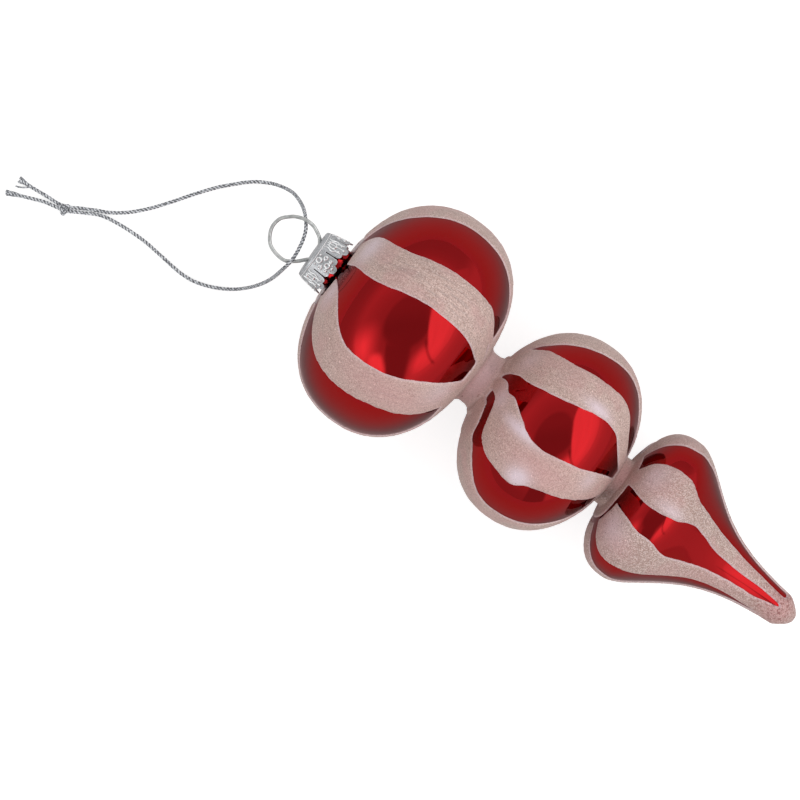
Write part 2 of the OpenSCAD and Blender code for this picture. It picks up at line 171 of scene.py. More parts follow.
class Graph:
    """Builds a node tree one line at a time."""

    def __init__(self, tree: NodeTree) -> None:
        """Keep the tree that the nodes go into."""
        self.tree = tree

    def set(self, node: Node, inputs: dict[Any, Any]) -> None:
        """Link or set inputs of a node, by name or number."""
        for key, value in inputs.items():
            if isinstance(value, NodeSocket):
                self.tree.links.new(value, node.inputs[key])
            else:
                node.inputs[key].default_value = value

    def add(self, kind: str, inputs: dict[Any, Any] | None = None, **settings: Any) -> Node:
        """Add a node.

        Args:
            kind: The node's type name.
            inputs: Values or sockets for its inputs, by name or number.
            **settings: The node's own settings.

        Returns:
            The new node.
        """
        node = self.tree.nodes.new(kind)
        for name, value in settings.items():
            setattr(node, name, value)
        self.set(node, inputs or {})
        return node

    def maths(self, operation: str, *values: Any, clamp: bool = False) -> NodeSocket:
        """Return the result of a Math node."""
        return self.add("ShaderNodeMath", dict(enumerate(values)), operation=operation,
                        use_clamp=clamp).outputs[0]

    def times(self, first: Any, second: Any, clamp: bool = False) -> NodeSocket:
        """Return a product."""
        return self.maths("MULTIPLY", first, second, clamp=clamp)

    def plus(self, first: Any, second: Any) -> NodeSocket:
        """Return a sum."""
        return self.maths("ADD", first, second)

    def minus(self, first: Any, second: Any) -> NodeSocket:
        """Return a difference."""
        return self.maths("SUBTRACT", first, second)

    def scaled(self, value: Any, factor: Any, more: Any) -> NodeSocket:
        """Return a value times a factor, plus more."""
        return self.maths("MULTIPLY_ADD", value, factor, more)

    def ramp(self, factor: Any, stops: Sequence[tuple[float, Colour]]) -> NodeSocket:
        """Return the colour of a Color Ramp with the given stops."""
        node = self.add("ShaderNodeValToRGB", {"Fac": factor})
        elements = node.color_ramp.elements
        while len(elements) < len(stops):
            elements.new(0.5)
        for element, (position, colour) in zip(elements, stops):
            element.position, element.color = position, colour
        return node.outputs["Color"]

    def blend(self, factor: Any, first: Any, second: Any) -> NodeSocket:
        """Return a mix of two colours."""
        return self.add("ShaderNodeMix", {"Factor": factor, 6: first, 7: second}, data_type="RGBA").outputs[2]

    def step(self, value: Any, start: float, end: float) -> NodeSocket:
        """Return a smooth step of a value from 0 at start to 1 at end."""
        return self.add("ShaderNodeMapRange", {0: value, 1: start, 2: end},
                        interpolation_type="SMOOTHSTEP").outputs[0]

    def noise(self, where: Any, size: float, detail: float = 2.0, rough: float = 0.5) -> NodeSocket:
        """Return a noise whose features are about size millimetres wide."""
        return self.add("ShaderNodeTexNoise", {
            "Vector": where, "Scale": 1.0 / (size * MM), "Detail": detail, "Roughness": rough}).outputs["Fac"]

    def bump(self, height: Any, strength: float, depth: float) -> NodeSocket:
        """Return a normal that is bumped by a height, to a depth in millimetres."""
        return self.add("ShaderNodeBump", {
            "Height": height, "Strength": strength, "Distance": depth * MM}).outputs["Normal"]

    def here(self) -> NodeSocket:
        """Return the place on the object."""
        return self.add("ShaderNodeTexCoord").outputs["Object"]

    def stored(self, name: str) -> NodeSocket:
        """Return a number that the piece stores at each of its points."""
        return self.add("ShaderNodeAttribute", attribute_name=name).outputs["Fac"]


def new_material(name: str) -> tuple[Material, Graph, Node]:
    """Return a new material with its graph and its main shader."""
    material = bpy.data.materials.new(name)
    material.use_nodes = True
    return material, Graph(material.node_tree), material.node_tree.nodes["Principled BSDF"]


def linked(name: str, data: ID) -> Object:
    """Return a new object in the scene, at the origin."""
    piece = bpy.data.objects.new(name, data)
    bpy.context.scene.collection.objects.link(piece)
    return piece


def mesh_piece(name: str, points: Array, faces: Sequence[Sequence[int]],
               material: Material, smooth: bool = True) -> Object:
    """Make an object at the origin from points in metres.

    Args:
        name: The piece's name.
        points: Its vertices.
        faces: Its faces, as lists of vertex numbers.
        material: Its finish.
        smooth: Whether it is shaded smooth.

    Returns:
        The linked object.
    """
    mesh = bpy.data.meshes.new(name)
    mesh.from_pydata([tuple(p) for p in points], [], [tuple(f) for f in faces])
    mesh.polygons.foreach_set("use_smooth", [smooth] * len(mesh.polygons))
    mesh.materials.append(material)
    mesh.validate()
    return linked(name, mesh)


def store(piece: Object, name: str, values: Array) -> None:
    """Store one number for each vertex of a piece, for its material to read."""
    attribute = piece.data.attributes.new(name, "FLOAT", "POINT")
    attribute.data.foreach_set("value", np.asarray(values, np.float32))


@dataclass
class Sheet:
    """A grid that runs all round a surface, cut along the line where a field is zero."""

    rows: Array
    columns: Array

    def cut(self, keep: Array) -> tuple[Array, list[list[int]]]:
        """Cut the grid.

        Args:
            keep: The field at each grid point: what is above zero stays.

        Returns:
            The kept points as (row, column) values and the faces between them.
        """
        count_r, count_c = keep.shape
        found: dict[tuple[int, int, int], int] = {}
        places: list[tuple[float, float]] = []
        faces: list[list[int]] = []

        def column(j: int) -> float:
            """Return the value of a column, past the seam too."""
            return self.columns[j] if j < count_c else self.columns[0] + 360.0

        def corner(i: int, j: int) -> int:
            """Return the number of a grid point."""
            key = (0, i, j % count_c)
            if key not in found:
                found[key] = len(places)
                places.append((self.rows[i], self.columns[j % count_c]))
            return found[key]

        def crossing(a: tuple[int, int], b: tuple[int, int]) -> int:
            """Return the number of the point where the field is zero between two grid points."""
            a, b = min(a, b), max(a, b)
            key = (1 if a[0] == b[0] else 2, a[0], a[1] % count_c)
            if key not in found:
                va, vb = keep[a[0], a[1] % count_c], keep[b[0], b[1] % count_c]
                share = float(np.clip(va / (va - vb), 0.02, 0.98))
                row = self.rows[a[0]] + (self.rows[b[0]] - self.rows[a[0]]) * share
                col = column(a[1]) + (column(b[1]) - column(a[1])) * share
                found[key] = len(places)
                places.append((row, col))
            return found[key]

        for i in range(count_r - 1):
            for j in range(count_c):
                ring = [(i, j), (i + 1, j), (i + 1, j + 1), (i, j + 1)]
                inside = [keep[a, b % count_c] > 0 for a, b in ring]
                if not any(inside):
                    continue
                face = []
                for k, here in enumerate(ring):
                    after = (k + 1) % 4
                    if inside[k]:
                        face.append(corner(*here))
                    if inside[k] != inside[after]:
                        face.append(crossing(here, ring[after]))
                faces.append(face)
        return np.array(places), faces


def dress(piece: Object, slot: Slot, *nodes: str) -> Object:
    """Let a piece ride with the ornament and stand for CAD nodes, whose parts it hides."""
    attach(piece, "root")
    if nodes:
        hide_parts(*nodes)
    log.info("%s: %d faces", piece.name, len(piece.data.polygons))
    return piece


class GeometryTree:
    """A Geometry Nodes tree with named inputs, which ends in real, dressed faces."""

    def __init__(self, name: str, inputs: dict[str, tuple[str, Any]]) -> None:
        """Start a tree.

        Args:
            name: The tree's name.
            inputs: Socket type and value of each input, by its name.
        """
        self.tree = bpy.data.node_groups.new(name, "GeometryNodeTree")
        self.graph = Graph(self.tree)
        face = self.tree.interface
        face.new_socket("Geometry", in_out="INPUT", socket_type="NodeSocketGeometry")
        self.values = {face.new_socket(label, in_out="INPUT", socket_type=kind).identifier: value
                       for label, (kind, value) in inputs.items()}
        face.new_socket("Geometry", in_out="OUTPUT", socket_type="NodeSocketGeometry")
        self.entry = self.graph.add("NodeGroupInput")

    def finish(self, geometry: NodeSocket) -> None:
        """End the tree in Realize Instances and Set Material."""
        real = self.graph.add("GeometryNodeRealizeInstances", {"Geometry": geometry})
        dressed = self.graph.add("GeometryNodeSetMaterial", {
            "Geometry": real.outputs["Geometry"], "Material": self.entry.outputs["Finish"]})
        self.graph.add("NodeGroupOutput", {"Geometry": dressed.outputs["Geometry"]})

    def run(self, source: Object, name: str) -> Object:
        """Run the tree on an object and keep the result as a plain mesh.

        Args:
            source: The object that the tree starts from. It is removed.
            name: The new piece's name.

        Returns:
            The new object, at the origin and without a modifier.
        """
        modifier = source.modifiers.new(name, "NODES")
        modifier.node_group = self.tree
        for identifier, value in self.values.items():
            modifier[identifier] = value
        graph = bpy.context.evaluated_depsgraph_get()
        made = bpy.data.meshes.new_from_object(source.evaluated_get(graph))
        made.name = name
        piece = linked(name, made)
        bpy.data.objects.remove(source)
        return piece


# ---- finishes


class Finish:
    """A procedural material."""

    name = "finish"

    def inputs(self, graph: Graph) -> dict[str, Any]:
        """Return the values and sockets for the main shader."""
        raise NotImplementedError

    def build(self) -> Material:
        """Return the material."""
        material, graph, shader = new_material(self.name)
        graph.set(shader, self.inputs(graph))
        return material


@dataclass(frozen=True)
class MirrorGlass(Finish):
    """Blown glass, silvered inside and lacquered deep red."""

    name = "mirrored_red_glass"
    red: Colour = (0.365, 0.0042, 0.0068, 1.0)
    deep: Colour = (0.335, 0.0036, 0.0060, 1.0)
    edge: Colour = (0.30, 0.040, 0.042, 1.0)
    polished: float = 0.055
    hazy: float = 0.099
    ripple: float = 0.05
    coat_weight: float = 0.50
    coat_roughness: float = 0.04
    coat_ior: float = 1.27

    def inputs(self, graph: Graph) -> dict[str, Any]:
        """Return the values and sockets for the main shader."""
        where = graph.here()
        return {
            "Base Color": graph.ramp(graph.noise(where, 22.0, 3.0), [(0.35, self.deep), (0.65, self.red)]),
            "Roughness": graph.ramp(
                graph.noise(where, 9.0, 4.0), [(0.4, grey(self.polished)), (0.7, grey(self.hazy))]),
            "Normal": graph.bump(graph.noise(where, 14.0, 1.0), 0.6, self.ripple), "Metallic": 1.0,
            "Specular Tint": self.edge, "Coat Weight": self.coat_weight,
            "Coat Roughness": self.coat_roughness, "Coat IOR": self.coat_ior}


@dataclass(frozen=True)
class GlitterPaint(Finish):
    """Dusty pink glue, thick with fine glitter, with brush strokes, frosted patches, a painted highlight
    along its rims and a rose tint that is partly its own tone and partly painted red reflection and painted
    shade on the waists.
    """

    name = "pink_glitter_paint"
    grain: float = 0.21
    speck: Colour = (0.300, 0.175, 0.145, 1.0)
    dull: Colour = (0.385, 0.250, 0.215, 1.0)
    dusty: Colour = (0.555, 0.385, 0.338, 1.0)
    pale: Colour = (0.740, 0.560, 0.510, 1.0)
    bright: Colour = (0.860, 0.740, 0.710, 1.0)
    stroke: Colour = (0.300, 0.235, 0.222, 1.0)
    rose: Colour = (0.590, 0.300, 0.298, 1.0)
    frost: Colour = (0.740, 0.600, 0.650, 1.0)
    soot: Colour = (0.150, 0.105, 0.095, 1.0)
    brown: Colour = (0.230, 0.060, 0.055, 1.0)
    lane_length: float = 0.11

    def inputs(self, graph: Graph) -> dict[str, Any]:
        """Return the values and sockets for the main shader."""
        where, coarse = graph.here(), graph.stored("coarse")
        grains = graph.add("ShaderNodeTexVoronoi", {"Vector": where, "Scale": 1.0 / (self.grain * MM)})
        lot = graph.add("ShaderNodeSeparateColor", {"Color": grains.outputs["Color"]}).outputs
        fine = graph.noise(where, 0.45, 3.0, 0.7)
        spread = graph.minus(graph.plus(graph.times(lot[0], 0.5), fine), 0.75)
        tone = graph.scaled(spread, graph.scaled(coarse, 1.7, 1.05), 0.5)
        colour = graph.ramp(tone, [
            (0.22, self.dull), (0.5, self.dusty), (0.78, self.pale), (0.96, self.bright)])
        colour = self.brushed(graph, colour)
        colour = graph.blend(graph.times(coarse, 0.28), colour, self.dull)
        # The rose tint is partly the paint's own tone and partly painted red reflection of the glass and
        # painted shade on the coated waists.
        broad = graph.times(graph.step(graph.noise(where, 11.0, 2.0, 0.5), 0.46, 0.62), 0.35)
        rose_tone_reflection_and_shade = graph.maths("MAXIMUM", broad, graph.stored("rose_tone_reflection_and_shade"))
        colour = graph.blend(graph.times(rose_tone_reflection_and_shade, 0.85), colour, self.rose)
        crowd = graph.scaled(graph.noise(where, 7.0, 3.0, 0.6), 0.45, graph.scaled(coarse, -0.13, 0.64))
        dark = graph.maths("GREATER_THAN", lot[2], crowd)
        colour = graph.blend(graph.times(dark, graph.scaled(coarse, 0.22, 0.34)), colour, self.speck)
        # Near every edge the paint takes the frost tint as a painted highlight on its rounded rim.
        rim = graph.times(graph.step(graph.stored("depth"), 0.75, 0.0), 0.50)
        for name, patch, tint in (
                ("frost", graph.scaled(fine, 0.75, 0.55), self.frost),
                ("smear", graph.scaled(graph.noise(where, 1.5, 3.0, 0.7), 1.6, -0.15), self.soot),
                ("dots", graph.step(graph.noise(where, 0.8, 2.0, 0.7), 0.50, 0.60), self.brown)):
            mark = graph.stored(name)
            mark = graph.maths("MAXIMUM", mark, rim) if name == "frost" else mark
            colour = graph.blend(graph.times(mark, patch, clamp=True), colour, tint)
        spark = graph.maths("GREATER_THAN", lot[1], graph.scaled(coarse, -0.05, 0.92))
        return {
            "Base Color": colour, "Metallic": graph.times(spark, 0.6),
            "Roughness": graph.scaled(spark, -0.34, 0.66), "Sheen Weight": 0.10,
            "Normal": graph.bump(graph.scaled(grains.outputs["Distance"], -0.5, fine), 0.6, 0.10)}

    def brushed(self, graph: Graph, colour: Any) -> NodeSocket:
        """Return the colour with long grey and pale brush strokes that follow the swirl."""
        share = graph.scaled(graph.stored("stroked"), 0.35, 0.25)
        depth, along = graph.stored("depth"), graph.times(graph.stored("along"), self.lane_length)
        for seed, width, low, high, most, tint in ((0.0, 2.6, 0.46, 0.64, 0.80, self.stroke),
                                                   (7.0, 3.4, 0.50, 0.66, 0.60, self.pale)):
            lane = graph.add("ShaderNodeCombineXYZ", {0: graph.times(depth, width), 1: along, 2: seed})
            streak = graph.noise(lane.outputs[0], 1.0 / MM, 3.0, 0.6)
            shown = graph.times(graph.times(graph.step(streak, low, high), most), share)
            colour = graph.blend(shown, colour, tint)
        return colour


@dataclass(frozen=True)
class GlitterFlake(Finish):
    """Loose bright flakes on top of the paint."""

    name = "glitter_flake"
    tint: Colour = (0.93, 0.80, 0.78, 1.0)
    dark: Colour = (0.45, 0.27, 0.25, 1.0)

    def inputs(self, graph: Graph) -> dict[str, Any]:
        """Return the values and sockets for the main shader."""
        tint = graph.ramp(graph.noise(graph.here(), 0.9, 1.0), [(0.42, self.dark), (0.6, self.tint)])
        return {"Base Color": tint, "Metallic": 0.85, "Roughness": 0.25}


@dataclass(frozen=True)
class StampedMetal(Finish):
    """Thin stamped metal with a satin face, painted shade at the foot of its raised filigree and a painted
    highlight on the filigree's crests.
    """

    name = "stamped_cap_metal"
    # bright is a painted highlight on the filigree's crests; hollow is painted shade at the foot of each
    # ridge.
    bright: Colour = (0.95, 0.96, 0.97, 1.0)
    face: Colour = (0.64, 0.65, 0.67, 1.0)
    hollow: Colour = (0.10, 0.11, 0.12, 1.0)
    roughness: float = 0.24

    def inputs(self, graph: Graph) -> dict[str, Any]:
        """Return the values and sockets for the main shader."""
        where = graph.here()
        grain = graph.noise(where, 0.35, 4.0, 0.7)
        stamped = graph.scaled(grain, 0.12, graph.stored("relief"))
        return {
            # The relief turns to painted shade at the foot of each ridge and to a painted highlight on its
            # crest.
            "Base Color": graph.ramp(stamped, [
                (0.04, self.face), (0.12, self.hollow), (0.25, self.face), (0.60, self.bright)]),
            "Roughness": graph.scaled(graph.noise(where, 1.2, 3.0), 0.25, self.roughness),
            "Normal": graph.bump(grain, 0.6, 0.09), "Metallic": 1.0}


@dataclass(frozen=True)
class DrawnWire(Finish):
    """Grey drawn wire with faint draw marks."""

    name = "drawn_wire"
    grey: Colour = (0.60, 0.61, 0.60, 1.0)
    dark: Colour = (0.42, 0.43, 0.43, 1.0)
    roughness: float = 0.26

    def inputs(self, graph: Graph) -> dict[str, Any]:
        """Return the values and sockets for the main shader."""
        where = graph.here()
        return {
            "Base Color": graph.ramp(
                graph.noise(where, 1.6, 4.0, 0.65), [(0.35, self.dark), (0.62, self.grey)]),
            "Roughness": graph.scaled(graph.noise(where, 0.8, 2.0), 0.2, self.roughness), "Metallic": 1.0}


@dataclass(frozen=True)
class MetallicThread(Finish):
    """Twisted thread of silver foil round a grey core, with painted shade in the grooves between its plies.
    """

    name = "metallic_thread"
    silver: Colour = (0.74, 0.76, 0.79, 1.0)
    grey: Colour = (0.34, 0.35, 0.38, 1.0)
    core: Colour = (0.085, 0.088, 0.098, 1.0)
    roughness: float = 0.40

    def inputs(self, graph: Graph) -> dict[str, Any]:
        """Return the values and sockets for the main shader."""
        where = graph.here()
        flecks = graph.noise(where, 0.62, 2.0, 0.6)
        # The ply wave darkens the grooves between the plies towards the core colour: the dark core showing
        # there, deepened as painted shade.
        tone = graph.scaled(graph.stored("ply"), 0.22, graph.scaled(flecks, 1.5, -0.25))
        return {
            "Base Color": graph.ramp(tone, [(0.34, self.core), (0.50, self.grey), (0.66, self.silver)]),
            "Metallic": graph.times(graph.maths("GREATER_THAN", flecks, 0.55), 0.5),
            "Normal": graph.bump(graph.noise(where, 0.2, 2.0), 0.4, 0.08), "Roughness": self.roughness}


# ---- the ornament's pieces


@dataclass
class GlassBody:
    """The blown glass: two bulbs, a long drop and the waists between them.

    A bulb is given by its radius, its middle's station, its half length and the powers of its
    curve. The drop's long tail is given by its end radius, its length and two powers.
    """

    pose: Pose
    shoulder: float = 8.3
    rim: float = 0.41
    neck: float = 6.3
    wall: float = 0.8
    upper: tuple[float, ...] = (35.6, 33.0, 24.7, 2.2, 2.6)
    middle: tuple[float, ...] = (30.4, 86.2, 22.7, 2.2, 2.15)
    drop: tuple[float, ...] = (24.0, 124.5, 13.1, 2.85, 2.2)
    waists: tuple[float, float] = (8.15, 7.7)
    tail: tuple[float, ...] = (3.2, 35.0, 1.7, 2.6)
    nose: float = 4.5
    tip: float = 178.0
    fillet: float = 1.7
    around: int = 168
    step: float = 0.7
    inner_step: float = 3.0
    half_gap: float = 0.35

    def __post_init__(self) -> None:
        """Measure the outline along its own line."""
        stations = np.concatenate([
            np.linspace(self.rim, self.shoulder, 60, endpoint=False),
            self.lobe_stations(*self.upper[1:3]),
            np.linspace(self.upper[1] + self.upper[2], self.middle[1] - self.middle[2], 80)[1:-1],
            self.lobe_stations(*self.middle[1:3]),
            np.linspace(self.middle[1] + self.middle[2], self.drop[1] - self.drop[2], 50)[1:-1],
            self.drop[1] - self.drop[2] * np.cos(np.linspace(0, math.pi / 2, 400)),
            np.linspace(self.drop[1], self.tip - self.nose, 500)[1:],
            self.tip - self.nose * (1 - np.sin(np.linspace(0, math.pi / 2, 120)))[1:],
        ])
        radii = self.radius(stations)
        steps = np.hypot(np.diff(stations), np.diff(radii))
        self.line_at = np.concatenate([[0.0], np.cumsum(steps)])
        self.line_s, self.line_r = stations, radii
        self.length = float(self.line_at[-1])

    @staticmethod
    def lobe_stations(at: float, half: float) -> Array:
        """Return stations along a bulb, close together at its ends."""
        return at - half * np.cos(np.linspace(0, math.pi, 900))

    @staticmethod
    def lobe(s: Array, r: float, at: float, half: float, bulge: float, full: float) -> Array:
        """Return the radius of one bulb."""
        u = np.minimum(np.abs(s - at) / half, 1.0)
        return r * (1.0 - u**bulge) ** (1.0 / full)

    def radius(self, s: Array) -> Array:
        """Return the glass's outer radius at each station."""
        low, length, power, fall = self.tail
        shoulder_r, drop_at, shoulder_l, bulge, full = self.drop
        past = np.maximum(s - drop_at, 0.0) / length
        taper = low + (shoulder_r - low) / (1.0 + past**power) ** fall
        nose = np.clip((s - self.tip + self.nose) / self.nose, 0.0, 1.0)
        drop = np.where(s < drop_at, self.lobe(s, shoulder_r, drop_at, shoulder_l, bulge, full),
                        taper * np.sqrt(1.0 - nose))
        core = np.where(s < self.upper[1], self.neck,
                        np.where(s < self.middle[1], self.waists[0],
                                 np.where(s < drop_at, self.waists[1], 0.0)))
        outer = self.lobe(s, *self.upper)
        for part in (self.lobe(s, *self.middle), drop, core):
            outer = smooth_max(outer, part, self.fillet)
        return np.where(s >= self.tip - 1e-6, 0.0, np.where(s > drop_at, drop, outer))

    def at(self, line: Array) -> tuple[Array, Array, Array, Array]:
        """Look up the outline.

        Args:
            line: Distances along the outline from the neck's rim.

        Returns:
            Station, radius, and the outward direction's parts along and off the axis.
        """
        s, r = np.interp(line, self.line_at, self.line_s), np.interp(line, self.line_at, self.line_r)
        ahead, behind = line + self.half_gap, line - self.half_gap
        ds, dr = (np.interp(ahead, self.line_at, values) - np.interp(behind, self.line_at, values)
                  for values in (self.line_s, self.line_r))
        size = np.maximum(np.hypot(ds, dr), 1e-9)
        return s, r, -dr / size, ds / size

    def line_of(self, station: Array) -> Array:
        """Return distances along the outline for stations."""
        return np.interp(station, self.line_s, self.line_at)

    def skin(self, line: Array, turn: Array, height: Array) -> Array:
        """Return points in metres that stand a height off the glass."""
        s, r, along, off = self.at(line)
        return self.pose.round_place(r + off * height, turn, s + along * height)

    def build(self, finish: Material) -> Object:
        """Make the glass with its outer face, its open neck and its inner face."""
        outer = np.append(np.arange(0.0, self.length - 0.3, self.step), self.length - 0.15)
        inner = np.arange(self.length - 12.0, 0.5, -self.inner_step)
        line = np.concatenate([outer, inner])
        depth = np.concatenate([np.zeros(len(outer)), np.full(len(inner), -self.wall)])
        turns = np.arange(self.around) * 360.0 / self.around
        points = self.skin(line[:, None], turns[None, :], depth[:, None]).reshape(-1, 3)
        n, rows, first = self.around, len(line), len(outer)
        grid = [[i * n + j, (i + 1) * n + j, (i + 1) * n + (j + 1) % n, i * n + (j + 1) % n]
                for i in range(rows - 1) if i != first - 1 for j in range(n)]
        rim = [[(rows - 1) * n + j, j, (j + 1) % n, (rows - 1) * n + (j + 1) % n] for j in range(n)]
        poles = self.pose.place(np.zeros(2), np.zeros(2), np.array([self.tip, self.tip - 6.0]))
        tip, hollow = len(points), len(points) + 1
        fans = [[(first - 1) * n + j, tip, (first - 1) * n + (j + 1) % n] for j in range(n)]
        fans += [[hollow, first * n + j, first * n + (j + 1) % n] for j in range(n)]
        return mesh_piece("glass_body_shown", np.vstack([points, poles]), grid + rim + fans, finish)


@dataclass(frozen=True)
class Swirl:
    """A painted swirl: its edges by station, where it is repeated round, and where it ends."""

    edges: tuple[Point, ...]
    turns: tuple[float, ...]
    ends: tuple[float, float]


UPPER_A = Swirl((
    (8.6, -50.5, -12.0), (10.7, -52.8, -14.5), (13.3, -53.3, -20.5), (16.0, -53.3, -25.4),
    (21.4, -51.7, -29.4),
    (26.9, -49.9, -28.7), (32.5, -48.0, -27.3), (38.1, -45.7, -24.6), (43.9, -44.6, -20.5),
    (49.9, -42.8, -16.0), (53.1, -40.5, -12.4), (57.5, -39.0, -8.0)), (0.0, -60.0, 177.6), (9.0, 59.0))
UPPER_B = Swirl((
    (8.6, 11.5, 50.0), (10.6, 9.5, 44.7), (13.3, 7.2, 36.5), (15.7, 6.2, 32.0), (21.0, 7.2, 29.3),
    (26.5, 9.2, 30.2), (32.0, 10.5, 31.4), (37.7, 10.8, 32.3), (43.6, 11.0, 33.5), (49.7, 9.6, 34.6),
    (52.9, 7.4, 31.2), (57.5, 4.0, 30.0)), (0.0, 54.0, 182.0), (9.0, 59.0))
MIDDLE_A = Swirl((
    (63.5, -1.0, 24.0), (64.8, -4.5, 19.8), (66.3, -11.5, 12.0), (67.1, -20.0, 6.0), (67.6, -26.0, 4.3),
    (68.2, -32.0, 4.0), (69.2, -37.5, 3.5), (71.1, -39.9, 0.0), (72.7, -40.4, -3.0), (74.5, -40.2, -5.5),
    (77.1, -39.7, -9.0), (83.8, -38.4, -11.3),
    (86.9, -33.8, -10.4), (89.4, -32.0, -9.5), (95.4, -30.2, -7.3), (101.9, -28.5, -3.1),
    (108.8, -28.0, 2.0)), (0.0, 168.0), (62.5, 110.0))
MIDDLE_C = Swirl((
    (63.5, -93.0, -20.0), (64.4, -93.0, -21.5), (65.3, -93.2, -23.5), (65.7, -93.4, -30.0),
    (66.4, -93.8, -36.5), (67.3, -94.3, -49.0), (69.2, -94.8, -52.1), (71.1, -95.5, -55.6),
    (74.5, -95.8, -61.1), (77.1, -95.3, -64.6), (83.8, -94.0, -66.9), (86.9, -89.4, -66.0),
    (95.4, -85.8, -62.9), (101.9, -84.1, -58.7), (108.8, -83.6, -53.6)), (0.0,), (62.5, 110.0))
MIDDLE_B = Swirl((
    (63.5, 28.5, 82.0), (64.8, 27.5, 76.5), (65.7, 25.5, 72.8), (68.2, 20.8, 56.9), (69.1, 19.0, 54.9),
    (73.3, 17.0, 46.0), (78.4, 17.1, 41.6), (84.0, 18.9, 41.9),
    (89.8, 21.6, 42.5), (95.9, 23.5, 43.8), (99.0, 22.7, 41.9), (102.2, 17.7, 35.0),
    (108.8, 12.0, 30.0)), (0.0, 43.5, 182.0), (62.5, 110.0))
DROP_A = Swirl((
    (112.9, -60.8, -20.0), (115.0, -60.3, -17.8), (117.4, -59.1, -17.7), (120.0, -57.4, -18.9),
    (125.8, -53.3, -19.2),
    (131.7, -52.3, -24.7), (138.8, -50.0, -23.7), (145.3, -48.4, -21.8), (151.8, -51.2, -20.6),
    (158.1, -56.5, -19.0), (164.4, -65.9, -16.3), (170.0, -72.0, -1.9), (174.0, -74.0, 4.0)),
    (0.0, -57.5, 178.0), (112.8, 174.5))
DROP_B = Swirl((
    (112.6, 6.5, 34.0), (114.5, 2.6, 36.9), (116.8, 0.2, 35.9), (119.4, -0.2, 35.3), (122.2, 0.1, 34.7),
    (125.1, 1.6, 33.8), (128.1, 3.3, 30.5), (131.3, 7.5, 28.3), (133.2, 10.1, 29.0), (138.2, 10.4, 30.6),
    (145.0, 7.2, 34.5), (151.6, 7.1, 38.7), (157.9, 8.6, 41.0), (164.2, 12.1, 42.6), (167.2, 11.3, 41.8),
    (174.0, 8.0, 40.0)), (0.0, 62.0, 186.0), (112.0, 174.5))


